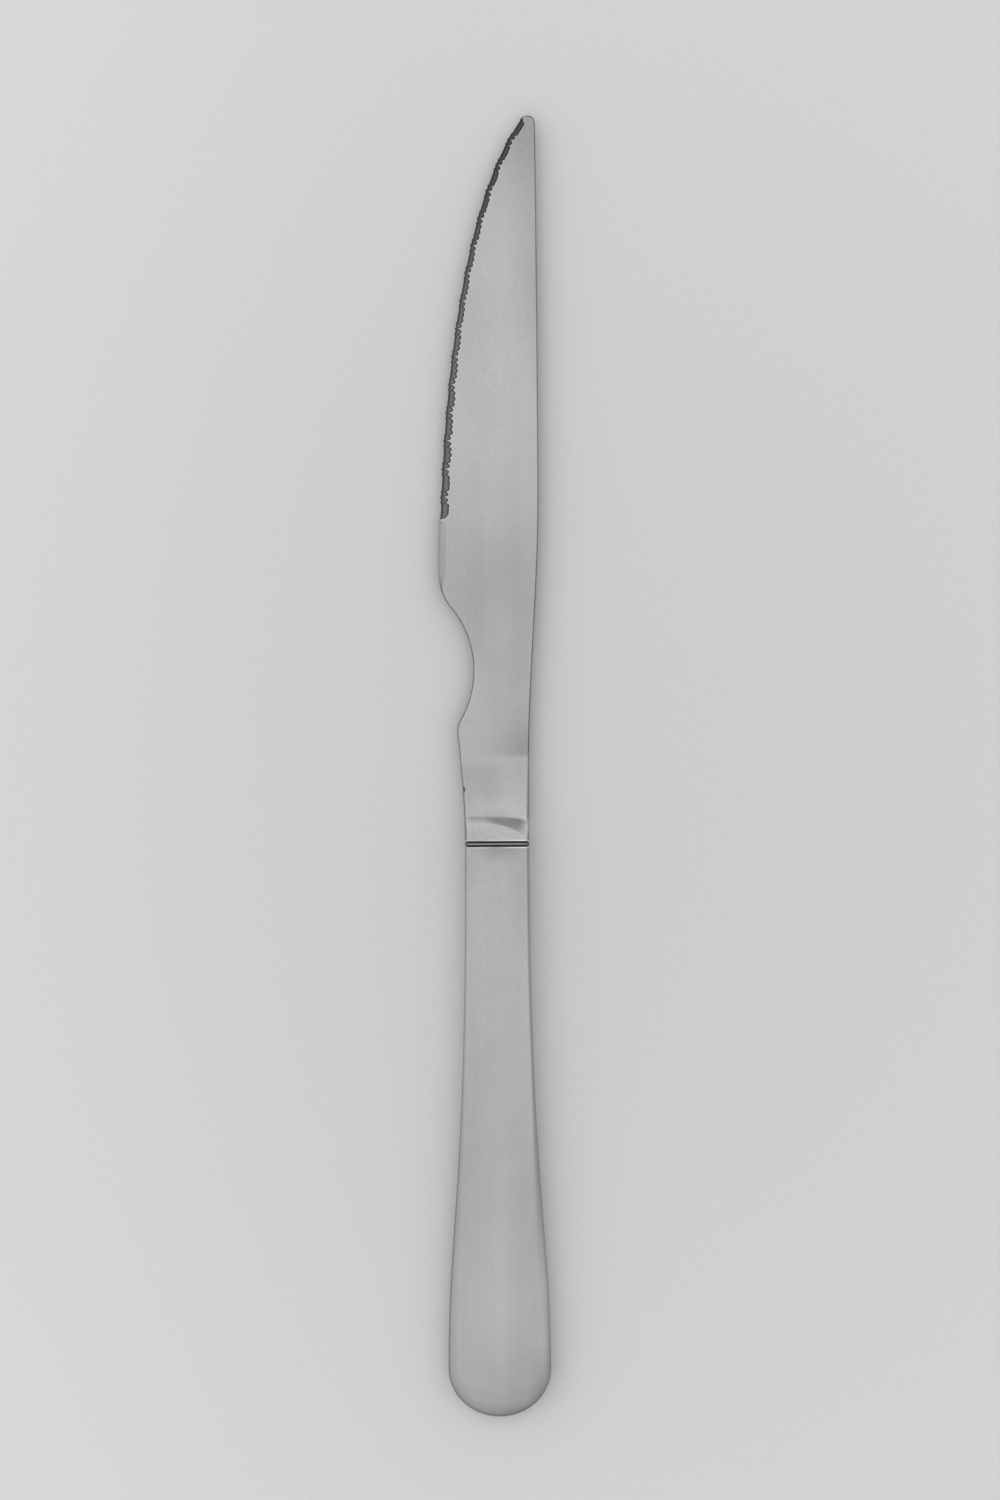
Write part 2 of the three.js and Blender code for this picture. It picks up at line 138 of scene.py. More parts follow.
# Painted shade on the handle, patches that stand in for reflections and shadow in the satin; a negative depth
# is a painted highlight
HANDLE_PAINTED_SHADES = {
    "mouth": PaintedShade(1.0, -14.4, 4.3, 2.0, 0.27),
    "neck at the spine": PaintedShade(5.0, -22.0, 2.5, 9.0, 0.08),
    "neck at the belly": PaintedShade(-4.0, -18.5, 2.0, 2.5, 0.05),
    "waist": PaintedShade(0.5, -78.0, 40.0, 17.0, 0.04),
    "belly flat": PaintedShade(-3.5, -60.0, 2.5, 14.0, 0.06),
    "streak": PaintedShade(1.1, -84.0, 1.0, 18.0, -0.03),
    "butt": PaintedShade(0.0, -89.0, 3.5, 8.0, -0.06),
    "belly side": PaintedShade(-8.5, -70.0, 3.4, 30.0, 0.11),
    "spine side": PaintedShade(6.2, -86.0, 2.4, 32.0, 0.08),
    "spine edge": PaintedShade(8.7, -90.0, 1.0, 22.0, -0.22),
    "end": PaintedShade(1.6, -117.0, 3.5, 8.0, 0.14),
    "end at the spine": PaintedShade(6.6, -107.0, 3.5, 4.5, 0.07),
    "round of the butt": PaintedShade(0.0, -107.5, 20.0, 5.0, 0.07),
}

# How worn the edges of spine and teeth are, which gives them a smoother polish and a painted highlight
SPINE_WEAR_AND_HIGHLIGHT = 0.5
TEETH_WEAR_AND_HIGHLIGHT = 0.5

# How much painted shade darkens the walls of the edges, and the plain edge's bevel
SPINE_WALL = 0.85
TIP_WALL = 0.35
COVE_WALL = 0.65
PLAIN_WALL = 0.25
PLAIN_BEVEL_SHADE = 0.3

# Painted shade on the outermost part of the handle's rounding, painted highlight on the part inside it, and
# where they begin
HANDLE_EDGE_SHADE = 0.4
HANDLE_ROLL_LIGHT = -0.12
EDGE_START = 0.75
ROLL_START = 0.35


def length(name, millimetres, description):
    """Property for a size that is written in millimetres."""
    return FloatProperty(name=name, description=description, default=millimetres * MM, unit="LENGTH")


def factor(name, value, description):
    """Property for a plain share or strength."""
    return FloatProperty(name=name, description=description, default=value, subtype="FACTOR")


def tint(name, value, description):
    """Property for a colour."""
    return FloatVectorProperty(name=name, description=description, default=value, subtype="COLOR")


class NeckSizes(PropertyGroup):
    """Neck of the knife, where blade, ring and handle meet."""

    width: length("Width", 11.35, "Belly to spine")
    thickness: length("Thickness", 5.2, "Flat to flat at the joint")
    rounding: length("Edge rounding", 0.6, "Rounded long edges of bolster and handle")
    least_rounding: length("Least rounding", 0.2, "What is left of a rounding on inner surfaces")
    ring: length("Ring", 0.36, "Thickness of the joint ring")
    gap: length("Joint gap", 0.3, "Dark line on each side of the ring")
    solder_depth: length("Solder depth", 0.3, "How deep the solder lies in the joint lines")
    solder_gap: length("Solder gap", 0.02, "Thin line between the solder and what it meets")
    clearance: length("Clearance", 0.3, "Spigot in the shells")
    wall: length("Shell wall", 0.7, "Sheet that the handle shells are pressed from")
    ease: length("Broken edges", 0.06, "Small bevels at the joint")
    # The polished rims carry a painted highlight as well as a smoother polish
    rim: length("Polished rims", 0.17, "Bright lines beside the joint")


class HandleSizes(PropertyGroup):
    """Hollow handle."""

    reach: length("Reach", 101.2, "Joint to butt")
    butt_width: length("Butt width", 18.1, "Widest place of the handle")
    butt_thickness: length("Butt thickness", 5.0, "The flats run together towards the butt")
    butt_round: length("Butt round", 8.5, "Length of the half ellipse that ends the handle")
    butt_roll: length("Butt roll", 6.5, "How far the flat rolls over at the very end")
    crown_start: length("Crown start", 35.0, "Joint to where the flats begin to fall off at their edges")
    crown_roll: length("Crown roll", 2.4, "How far the flat rolls over at the widest place")
    crown_drop: length("Crown drop", 1.1, "How deep it rolls there")
    neck_handle: length("Neck handle", 61.0, "Curve handle that keeps the flank straight below the neck")
    butt_handle: length("Butt handle", 25.5, "Curve handle that draws the flank out to the butt")
    seam: length("Seam", 0.3, "Braze between the two shells")
    seam_sink: length("Seam sink", 0.03, "How far the braze lies below the shells")
    rim_ease: length("Rim ease", 0.05, "Broken edges along the seam")


class TangSizes(PropertyGroup):
    """Spigot and tang inside the handle."""

    spigot: length("Spigot", 4.5, "How far the spigot reaches into the shells")
    width: length("Width", 6.2, "Across the tang")
    thickness: length("Thickness", 1.6, "Through the tang")
    rounding: length("Rounding", 0.1, "Rounded edges of the tang")
    reach: length("Reach", 62.0, "Joint to tang end")
    notch: length("Notch", 1.2, "Radius of the notches that key the tang into the cement")
    pitch: length("Notch pitch", 13.0, "Notch to notch")
    first: length("First notch", 18.0, "Joint to the first notch")


class BladeSizes(PropertyGroup):
    """Bolster and blade."""

    reach: length("Reach", 128.8, "Joint to tip")
    land_length: length("Land", 3.65, "Joint to the step")
    land_sweep: length("Land sweep", 2.6, "How far the step cuts into the land at the spine")
    sweep_power: FloatProperty(name="Sweep power", description="Keeps that cut near the spine", default=3.0)
    step_reach: length("Step reach", 4.8, "Joint to the foot of the step")
    step_sweep: length("Step sweep", 0.55, "How much nearer the joint its foot is at the spine")
    step_at_belly: length("Step at the belly", 0.25, "Height of the step there")
    step_at_spine: length("Step at the spine", 0.95, "Height of the step there")
    step_low: factor("Step grows from", 0.25, "Share of the width where the step begins to grow")
    step_high: factor("Step grows to", 0.85, "Share of the width where it is full")
    step_power: FloatProperty(name="Step power", description="How much steeper its foot is", default=1.3)
    cove_reach: length("Cove reach", 15.7, "Joint to the end of the cove")
    cove_blend: length("Cove blend", 2.5, "Soft start of the cove")
    spine_offset: length("Spine offset", 7.65, "Straight spine above the axis")
    climb_start: length("Climb start", 12.0, "Where the spine leaves the neck")
    climb_end: length("Climb end", 62.0, "Where the spine runs straight")
    spine_drop: length("Spine drop", 0.3, "Slight fall of the spine towards the tip")
    spur_length: length("Spur length", 5.2, "End of the cove to the spur")
    spur_rise: length("Spur rise", 1.35, "How far the belly swells out to the spur")
    spur_power: FloatProperty(name="Spur power", description="How late the belly swells", default=1.6)
    spur_rounding: length("Spur rounding", 1.3, "Rounded corner of the spur")
    choil_length: length("Choil length", 23.1, "Spur to heel")
    choil_radius: length("Choil radius", 17.5, "Finger hollow")
    heel_rounding: length("Heel rounding", 4.0, "Rounded corner of the heel")
    depth: length("Depth", 10.13, "Cutting edge below the axis at the heel")
    edge_heel_handle: length("Edge handle at the heel", 12.0, "Curve handle of the cutting edge")
    edge_tip_handle: length("Edge handle at the tip", 22.83, "Curve handle of the cutting edge")
    edge_tip_angle: FloatProperty(
        name="Edge angle at the tip", description="Cutting edge to axis", default=math.radians(37.48),
        subtype="ANGLE",
    )
    tip_offset: length("Tip offset", 5.2, "End of the cutting edge above the axis")
    nose_length: length("Nose length", 1.6, "Blunt rounded end of the spine")
    nose_drop: length("Nose drop", 0.1, "End of the cutting edge below the very tip")
    nose_crown: length("Nose crown", 0.45, "How full the nose curve is")
    spine_at_cove: length("Spine thickness at the cove", 1.75, "Flat grind at the cove")
    spine_at_tip: length("Spine thickness at the tip", 1.05, "Flat grind at the tip")
    edge_thickness: length("Edge thickness", 0.95, "Flat grind at the heel")
    ease: length("Eased edges", 0.3, "Rounded edges of choil and belly")
    spine_ease: length("Eased spine", 0.34, "Rounded edges of the spine")
    plain_ease: length("Eased plain edge", 0.32, "Depth of the rounded plain edge at the heel")
    plain_bevel: length("Plain bevel", 1.5, "Width of the rounded plain edge at the heel")
    # The rim is a flat band on the front face that carries the teeth's painted highlight and smoother polish
    rim: length("Serration rim", 0.22, "Polished rim of the face along the serrations")
    ease_run_out: length("Ease run-out", 0.8, "How fast the rounding fades at the serrations")
    dent_reach: length("Dent reach", 9.65, "Joint to a small dent in the belly of the bolster")
    dent_length: length("Dent length", 0.45, "Half the length of the dent")
    dent_depth: length("Dent depth", 0.08, "How deep it is")


class SerrationSizes(PropertyGroup):
    """Gullets, ground into the front face only."""

    plain_edge: length("Plain edge", 9.4, "Plain edge at the heel")
    pitch: length("Gullet pitch", 1.0, "Gullet to gullet")
    wide_count: IntProperty(name="Wide gullets", description="Gullets in one wide scallop", default=3)
    narrow_count: IntProperty(name="Narrow gullets", description="Gullets between two scallops", default=2)
    wide_reach: length("Wide reach", 1.28, "How far a wide scallop runs in from the edge")
    narrow_reach: length("Narrow reach", 1.15, "How far a narrow gullet runs in")
    ripple_reach: length("Ripple reach", 1.02, "Faint ridges inside a wide scallop")
    side_reach: length("Side tooth reach", 0.8, "Teeth beside a wide scallop")
    main_reach: length("Main tooth reach", 0.42, "Teeth between narrow gullets")
    wide_notch: length("Wide notch", 0.32, "How far a wide scallop sets the edge back")
    narrow_notch: length("Narrow notch", 0.25, "How far a narrow gullet sets the edge back")
    ripple_notch: length("Ripple notch", 0.28, "Edge at a faint ridge")
    side_notch: length("Side tooth notch", 0.12, "Edge at a side tooth")
    tooth_line: length("Tooth line", 0.2, "Main teeth stand this far out from the mean edge")
    ripple_start: length("Ripple start", 10.0, "Where the faint ridges are full, from the heel")
    ripple_end: length("Ripple end", 54.0, "Where they begin to fade again")
    tip_share: factor("Tip share", 0.88, "Size of the gullets at the tip")
    heel_share: factor("Heel share", 1.28, "Size of the gullets at the heel")
    heel_run_out: length("Heel run-out", 1.25, "Rounded end of the serrations at the heel")
    tip_run_out: length("Tip run-out", 1.3, "End of the serrations at the tip")
    roundness: factor("Roundness", 0.8, "Low for round gullets between thin ridges")
    hollow: factor("Hollow", 0.07, "How hollow the ground surface is")
    unevenness: factor("Unevenness", 0.05, "How much the gullets differ from each other")
    seed: IntProperty(name="Seed", description="Which gullets are larger", default=4)


class KnifeFinish(PropertyGroup):
    """Colours and surfaces."""

    blade: tint("Blade steel", (0.424, 0.424, 0.422), "Satin steel of blade and bolster")
    handle: tint("Handle steel", (0.4, 0.4, 0.398), "Satin steel of the handle")
    gullet: tint("Gullet steel", (0.185, 0.185, 0.185), "Coarsely ground steel in the gullets")
    # The ring's colour is darker for its ground finish and, in part, as painted shade on the narrow ring
    # between the joint lines
    ring: tint("Ring steel", (0.24, 0.24, 0.237), "Ground steel of the ring")
    braze: tint("Braze", (0.5, 0.47, 0.42), "Braze in the handle seam")
    solder: tint("Solder", (0.026, 0.026, 0.027), "Tarnished solder in the joint lines")
    cement: tint("Cement", (0.5, 0.47, 0.42), "Cement in the handle")
    satin: factor("Satin roughness", 0.34, "Roughness of the satin steel")
    mottle: factor("Mottle", 0.3, "How uneven the tone of the satin is")
    # Strength of the painted highlight on worn edges and polished rims
    blade_shine: factor("Blade painted highlight", 0.45, "How bright the worn edges of the blade are")
    handle_shine: factor("Handle painted highlight", 0.7, "How bright the polished rims of the handle are")
    line_width: length("Brush line width", 0.11, "Fine lengthwise lines")
    line_length: length("Brush line length", 9.0, "How far a line runs")
    band_width: length("Band width", 3.2, "Broad soft bands")
    band_length: length("Band length", 70.0, "How far a band runs")
    cloud: length("Cloud size", 9.0, "Soft mottling of the satin")
    grain: length("Grain size", 0.28, "Fine grain of the satin")
    grind_line: length("Grinding line", 0.06, "Width of the lines in the gullets")


class StudioSetup(PropertyGroup):
    """Floor, light and camera."""

    floor: tint("Floor", (0.76, 0.76, 0.76), "Pale matt floor")
    floor_size: FloatProperty(name="Floor size", description="Side of the floor", default=8.0, unit="LENGTH")
    overhead: factor("Overhead light", 1.2, "Light from above")
    sides: factor("Light from the sides", 0.7, "Share of it that comes from the sides")
    horizon: factor("Light at the horizon", 0.5, "Share of that which comes in flat")
    side_lean: factor("Side lean", 0.2, "How much stronger the light is on the belly's side")
    near_end: factor("Near end", 0.18, "How much darker the near end of the studio is")
    dark_end: factor("Dark end", 0.71, "How much darker the far end of the studio is")
    dark_height: FloatProperty(
        name="Dark height", description="From straight up to the dark end", default=math.radians(46),
        subtype="ANGLE",
    )
    distance: FloatProperty(name="Camera distance", description="To the axis", default=0.9, unit="LENGTH")
    frame_height: length("Frame height", 265.47, "What the picture shows from top to bottom")
    look_x: length("Look at, across", 1.14, "Middle of the picture")
    look_y: length("Look at, along", 2.78, "Middle of the picture")
    turn: FloatProperty(
        name="Turn", description="The knife leans a little in the picture", default=math.radians(0.29973),
        subtype="ANGLE",
    )


class SteakKnife(PropertyGroup):
    """Everything that can be set on the knife."""

    neck: PointerProperty(type=NeckSizes)
    handle: PointerProperty(type=HandleSizes)
    tang: PointerProperty(type=TangSizes)
    blade: PointerProperty(type=BladeSizes)
    serration: PointerProperty(type=SerrationSizes)
    finish: PointerProperty(type=KnifeFinish)
    studio: PointerProperty(type=StudioSetup)


# Numbers and curves

def shares(steps):
    """Numbers from 0 to 1 in even steps."""
    return [i / steps for i in range(steps + 1)]


def lerp(low, high, share):
    """Value or place between two others."""
    return low + (high - low) * share


def smoothstep(value, low, high):
    """Soft rise from 0 to 1 between two values."""
    share = min(1.0, max(0.0, (value - low) / (high - low)))
    return share * share * (3.0 - 2.0 * share)


def quadratic(start, bend, end, steps):
    """Places on a quadratic curve, without its first one."""
    return [lerp(lerp(start, bend, t), lerp(bend, end, t), t) for t in shares(steps)[1:]]


def pairs(items):
    """Each item with the next one."""
    return zip(items, items[1:])


def joint_face(knife):
    """From the middle of the ring to the bolster, and just as far to the mouth of the shells."""
    return knife.neck.ring / 2 + knife.neck.gap


def handle_taper(knife):
    """Slope of each flat of the handle towards the butt."""
    drop = (knife.neck.thickness - knife.handle.butt_thickness) / 2
    return drop / (knife.handle.reach - joint_face(knife))


def placement(knife):
    """From the knife's own axis to where the frame has it."""
    low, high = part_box("joint_ring")
    lean = Matrix.Rotation(math.atan(handle_taper(knife)), 4, "X")
    return Matrix.Translation((low + high) / 2) @ lean


# Meshes

class Loop:
    """Closed row of points round a section: over belly and spine, along front and back."""

    def __init__(self, belly, spine, front, back):
        self.belly = belly
        self.spine = spine
        self.front = front
        self.back = back

    def parts(self):
        """The four stretches."""
        return self.belly, self.spine, self.front, self.back

    def around(self):
        """All points in order."""
        return [*self.belly, *self.back, *reversed(self.spine), *reversed(self.front)]


class Skin:
    """Closed surface made of rows of points, with the numbers that the finishes read."""

    def __init__(self, start=None):
        self.bm = bmesh.new()
        if start:
            self.bm.from_mesh(start)
        # Wear gives a smoother polish and a painted highlight; wall and dent give painted shade
        self.wear = self.bm.verts.layers.float.new("wear")
        self.wall = self.bm.verts.layers.float.new("wall")
        self.dent = self.bm.verts.layers.float.new("dent")
        self.bm.verts.ensure_lookup_table()

    def row(self, points, wear=0.0, wall=0.0, dent=0.0, bevel_shade=0.0):
        """New points over an edge: worn, with a painted highlight, or darkened with painted shade on a bevel
        where it leaves the faces, and painted shade on the wall between them.
        """
        verts = self.plain_row(points)
        for i, vert in enumerate(verts[1:-1], 1):
            on_wall = WALL_STEP <= i < len(verts) - WALL_STEP
            vert[self.wear] = 0.0 if on_wall else wear
            vert[self.wall] = wall if on_wall else bevel_shade
            vert[self.dent] = dent if i < ARRIS_STEPS else 0.0
        return verts

    def plain_row(self, points, wear=0.0, wall=0.0):
        """New points that all carry the same wear and painted shade."""
        verts = [self.bm.verts.new(point) for point in points]
        for vert in verts:
            vert[self.wear] = wear
            vert[self.wall] = wall
        return verts

    def loop(self, section, wear=0.0, wall=0.0, dent=0.0):
        """New points of a whole section: wear with a painted highlight at the spine, painted shade on the
        walls, and a dent with painted shade in the belly.
        """
        return Loop(
            self.row(section.belly, 0.0, wall, dent),
            self.row(section.spine, wear, wall),
            self.plain_row(section.front),
            self.plain_row(section.back),
        )

    def worn_highlight_loop(self, section):
        """New points of a section that is worn all round, with a painted highlight."""
        return Loop(*(self.plain_row(part, 1.0) for part in section.parts()))

    def columns(self, rows):
        """Points that were there from the start, in columns of so many."""
        verts = self.bm.verts[:]
        return [verts[i:i + rows] for i in range(0, len(verts), rows)]

    def face(self, corners, material):
        """One flat face."""
        self.bm.faces.new(corners).material_index = material

    def band(self, first, second, material):
        """Faces between two rows."""
        for (a, b), (c, d) in zip(pairs(first), pairs(second)):
            self.face((a, b, d, c), material)

    def tube(self, first, second, material):
        """Faces between two closed rows."""
        self.band([*first, first[0]], [*second, second[0]], material)

    def mesh(self, name, matrix, materials):
        """The finished surface, laid in place."""
        bmesh.ops.remove_doubles(self.bm, verts=self.bm.verts, dist=WELD)
        bmesh.ops.dissolve_degenerate(self.bm, edges=self.bm.edges, dist=WELD)
        bmesh.ops.recalc_face_normals(self.bm, faces=self.bm.faces)
        open_edges = sum(not edge.is_manifold for edge in self.bm.edges)
        if open_edges:
            raise RuntimeError(f"{name} has {open_edges} open edges")
        mesh = bpy.data.meshes.new(name)
        self.bm.to_mesh(mesh)
        self.bm.free()
        mesh.transform(matrix)
        for material in materials:
            mesh.materials.append(material)
        mesh.shade_smooth()
        mesh.set_sharp_from_angle(angle=SHARP_ANGLE)
        return mesh


def settled(piece):
    """Plain mesh of an object with its modifiers worked in."""
    graph = bpy.context.evaluated_depsgraph_get()
    return bpy.data.meshes.new_from_object(
        piece.evaluated_get(graph), preserve_all_data_layers=True, depsgraph=graph,
    )


def finish_piece(mesh, node):
    """Object for a finished mesh, which stands for a node of the frame."""
    piece = bpy.data.objects.new(mesh.name, mesh)
    bpy.context.scene.collection.objects.link(piece)
    even = piece.modifiers.new("Even shading", "WEIGHTED_NORMAL")
    even.mode = "FACE_AREA"
    even.keep_sharp = True
    piece.data = settled(piece)
    piece.data.name = mesh.name
    piece.modifiers.clear()
    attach(piece, "root")
    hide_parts(node)


def profile(place, inward, rounding, height, width=None):
    """Points over a rounded edge, from the front face round the wall to the back face."""
    angles = [QUARTER * share for share in shares(ARRIS_STEPS)]
    width = width or rounding

    def point(angle, facing):
        spot = place + inward * (width * (1 - math.sin(angle)))
        return Vector((spot.x, spot.y, facing * (height - rounding * (1 - math.cos(angle)))))

    return [point(angle, 1) for angle in angles] + [point(angle, -1) for angle in reversed(angles)]


def bar_section(y, half_width, height, rounding):
    """Rounded rectangle across the knife's axis."""
    inner = half_width - rounding
    across = [lerp(-inner, inner, share) for share in shares(COVE_SPANS)[1:-1]]
    return Loop(
        profile(Vector((-half_width, y)), Vector((1, 0)), rounding, height),
        profile(Vector((half_width, y)), Vector((-1, 0)), rounding, height),
        [Vector((x, y, height)) for x in across],
        [Vector((x, y, -height)) for x in across],
    )


def neck_section(knife, y, inset):
    """Section of the neck, drawn in by an inset."""
    neck = knife.neck
    rounding = max(neck.rounding - inset, neck.least_rounding)
    return bar_section(y, neck.width / 2 - inset, neck.thickness / 2 - inset, rounding)


class BladeShape:
    """Outline, flat grinds and cove of the blade."""

    def __init__(self, knife):
        neck = knife.neck
        blade = knife.blade
        self.blade = blade
        self.neck_half = neck.width / 2
        self.rounding = neck.rounding
        self.land_height = neck.thickness / 2
        self.joint_face = joint_face(knife)
        self.spur_reach = blade.cove_reach + blade.spur_length
        self.heel_reach = self.spur_reach + blade.choil_length
        self.edge_start = Vector((-blade.depth, self.heel_reach + blade.heel_rounding))
        self.edge_end = Vector((blade.tip_offset, blade.reach - blade.nose_drop))
        self.heel_handle = self.edge_start + Vector((0, blade.edge_heel_handle))
        lean = Vector((math.sin(blade.edge_tip_angle), math.cos(blade.edge_tip_angle)))
        self.tip_handle = self.edge_end - lean * blade.edge_tip_handle
        self.plane_face()

    def plane_face(self):
        """Front face: one plane through the spine at the cove, the spine at the tip and the heel."""
        blade = self.blade
        cove = Vector((self.spine_at(blade.cove_reach), blade.cove_reach, blade.spine_at_cove / 2))
        tip = Vector((self.spine_at(blade.reach), blade.reach, blade.spine_at_tip / 2))
        heel = self.edge_start.to_3d() + Vector((0, 0, blade.edge_thickness / 2))
        normal = (tip - cove).cross(heel - cove)
        self.slope = Vector((-normal.x / normal.z, -normal.y / normal.z))
        self.face_rise = cove.z - self.slope.dot(cove.to_2d())

    def face_at(self, place):
        """Height of the front face."""
        return self.face_rise + self.slope.dot(place)

    def spine_at(self, y):
        """Spine above the axis."""
        blade = self.blade
        climb = smoothstep(y, blade.climb_start, blade.climb_end)
        fall = max(0.0, (y - blade.climb_end) / (blade.reach - blade.climb_end))
        return lerp(self.neck_half, blade.spine_offset, climb) - blade.spine_drop * fall ** 2

    def belly_at(self, y):
        """Belly of the bolster, on the other side of the axis."""
        swell = max(0.0, (y - self.joint_face) / (self.spur_reach - self.joint_face))
        return -self.neck_half - self.blade.spur_rise * swell ** self.blade.spur_power

    def edge_points(self):
        """Places along the cutting edge, from the heel to the tip."""
        knots = (self.edge_start, self.heel_handle, self.tip_handle, self.edge_end)
        return [point.to_2d() for point in interpolate_bezier(*knots, EDGE_POINTS)]

    def spine_run(self):
        """Spine and nose between the cove and the end of the cutting edge."""
        blade = self.blade
        nose_start = blade.reach - blade.nose_length
        climb = [lerp(blade.cove_reach, blade.climb_end, share) for share in shares(CLIMB_STEPS)[1:]]
        straight = [lerp(blade.climb_end, nose_start, share) for share in shares(BLEND_STEPS)[1:]]
        spine = [Vector((self.spine_at(y), y)) for y in climb + straight]
        crown = Vector((self.spine_at(nose_start), blade.reach + blade.nose_crown))
        return spine + quadratic(spine[-1], crown, self.edge_end, BLEND_STEPS)[:-1]

    def plain_run(self, plain_edge):
        """Plain edge from the serrations back to the heel."""
        points = self.edge_points()
        run = [points[0]]
        travelled = 0.0
        for before, after in pairs(points):
            travelled += (after - before).length
            if travelled >= plain_edge:
                break
            run.append(after)
        return run[::-1]

    def belly_run(self, plain_edge):
        """Plain edge, heel, finger choil, spur and belly, down to the cove."""
        blade = self.blade
        spur = Vector((self.belly_at(self.spur_reach), self.spur_reach))
        heel = Vector((-blade.depth, self.heel_reach))
        chord = heel - spur
        away = Vector((-chord.y, chord.x)).normalized()
        rise = math.sqrt(blade.choil_radius ** 2 - chord.length_squared / 4)
        centre = (heel + spur) / 2 + away * rise

        def angle_of(place):
            return math.atan2(place.y - centre.y, place.x - centre.x)

        first = angle_of(heel) - blade.heel_rounding / blade.choil_radius
        last = angle_of(spur) + blade.spur_rounding / blade.choil_radius
        angles = [lerp(first, last, share) for share in shares(CHOIL_STEPS)]
        choil = [centre + Vector((math.cos(a), math.sin(a))) * blade.choil_radius for a in angles]
        belly_top = self.spur_reach - blade.spur_rounding
        down = [lerp(belly_top, blade.cove_reach, share) for share in shares(BLEND_STEPS)]
        belly = [Vector((self.belly_at(y), y)) for y in down]
        return [
            *self.plain_run(plain_edge),
            *quadratic(self.edge_start, heel, choil[0], BLEND_STEPS),
            *choil[1:],
            *quadratic(choil[-1], spur, belly[0], BLEND_STEPS),
            *belly[1:-1],
        ]

    def plain_share(self, place):
        """How far a place on the belly's side belongs to the plain edge."""
        return smoothstep(place.y, self.heel_reach, self.edge_start.y)

    def ease_at(self, place, serration_end):
        """Depth and width of the rounded edge, which fades where the serrations begin."""
        blade = self.blade
        fade = max(smoothstep((place - serration_end).length, 0, blade.ease_run_out), LEAST_EASE)
        if place.x > 0:
            spine = smoothstep(place.y, blade.cove_reach, self.spur_reach)
            rounding = lerp(blade.ease, blade.spine_ease, spine) * fade
            return rounding, rounding
        plain = self.plain_share(place)
        depth = lerp(blade.ease, blade.plain_ease, plain)
        width = lerp(blade.ease, blade.plain_bevel, plain)
        return depth * fade, width * fade

    def run_profiles(self, run, before, after, serration_end):
        """Edge profile at each place of a run between two neighbours."""
        path = [before, *run, after]
        profiles = []
        for i, place in enumerate(run):
            along = (path[i + 2] - path[i]).normalized()
            inward = Vector((-along.y, along.x))
            depth, width = self.ease_at(place, serration_end)
            profiles.append(profile(place, inward, depth, self.face_at(place), width))
        return profiles

    def cove_cell(self, share, side):
        """Place along the axis, height and rounding on the ramp with its soft start.

        Share 0 is the flat blade and 1 the foot of the step; side 0 is the belly and 1 the spine.
        """
        blade = self.blade

        def soften(run):
            return run ** 2 / (2 * blade.cove_blend) if run < blade.cove_blend else run - blade.cove_blend / 2

        def face_beside(y):
            return self.face_at(Vector((lerp(self.belly_at(y), self.spine_at(y), side), y)))

        foot = blade.step_reach - blade.step_sweep * side ** blade.sweep_power
        whole = blade.cove_reach - foot
        climb = soften(whole * share) / soften(whole)
        y = blade.cove_reach - whole * share
        grown = smoothstep(side, blade.step_low, blade.step_high)
        step = lerp(blade.step_at_belly, blade.step_at_spine, grown)
        rise = self.land_height - step - face_beside(foot)
        return y, face_beside(y) + rise * climb, lerp(blade.ease, self.rounding, climb)

    def step_cell(self, share, side):
        """The same on the step, which climbs to the land and cuts into it towards the spine."""
        low, height, _ = self.cove_cell(1.0, side)
        high = self.blade.land_length - self.blade.land_sweep * side ** self.blade.sweep_power
        climb = 1 - (1 - share) ** self.blade.step_power
        return lerp(low, high, share), lerp(height, self.land_height, climb), self.rounding

    def dent_at(self, y):
        """Depth share of the small dent in the belly of the bolster."""
        return math.exp(-((y - self.blade.dent_reach) / self.blade.dent_length) ** DENT_POWER)

    def bolster_section(self, cell, share):
        """Section across the cove or the step."""
        y, height, rounding = cell(share, 0)
        dent = Vector((self.blade.dent_depth * self.dent_at(y), 0))
        belly = profile(Vector((self.belly_at(y), y)) + dent, Vector((1, 0)), rounding, height)
        y, height, rounding = cell(share, 1)
        spine = profile(Vector((self.spine_at(y), y)), Vector((-1, 0)), rounding, height)
        front = []
        for side in shares(COVE_SPANS)[1:-1]:
            y, height, rounding = cell(share, side)
            x = lerp(self.belly_at(y) + rounding, self.spine_at(y) - rounding, side)
            front.append(Vector((x, y, height)))
        back = [Vector((p.x, p.y, -p.z)) for p in front]
        return Loop(belly, spine, front, back)


def tang_stations(tang):
    """Places along the tang with its half width there: round notches and a round end."""
    half = tang.width / 2
    stations = []
    notch = tang.first
    while notch < tang.reach - half - tang.notch:
        for share in shares(NOTCH_STEPS):
            angle = math.pi * share
            stations.append((-notch + tang.notch * math.cos(angle), half - tang.notch * math.sin(angle)))
        notch += tang.pitch
    for share in shares(NOTCH_STEPS):
        angle = QUARTER * share
        stations.append((half - tang.reach - half * math.sin(angle), half * math.cos(angle)))
    return stations


def bolster_loops(skin, shape):
    """Sections from the flat blade over the cove and the step to the land."""
    loops = []
    for share in shares(COVE_ROWS):
        dent = shape.dent_at(shape.cove_cell(share, 0)[0])
        section = shape.bolster_section(shape.cove_cell, share)
        loops.append(skin.loop(section, SPINE_WEAR_AND_HIGHLIGHT * (1 - share), COVE_WALL, dent))
    for share in shares(STEP_ROWS)[1:]:
        loops.append(skin.loop(shape.bolster_section(shape.step_cell, share), wall=COVE_WALL))
    return loops


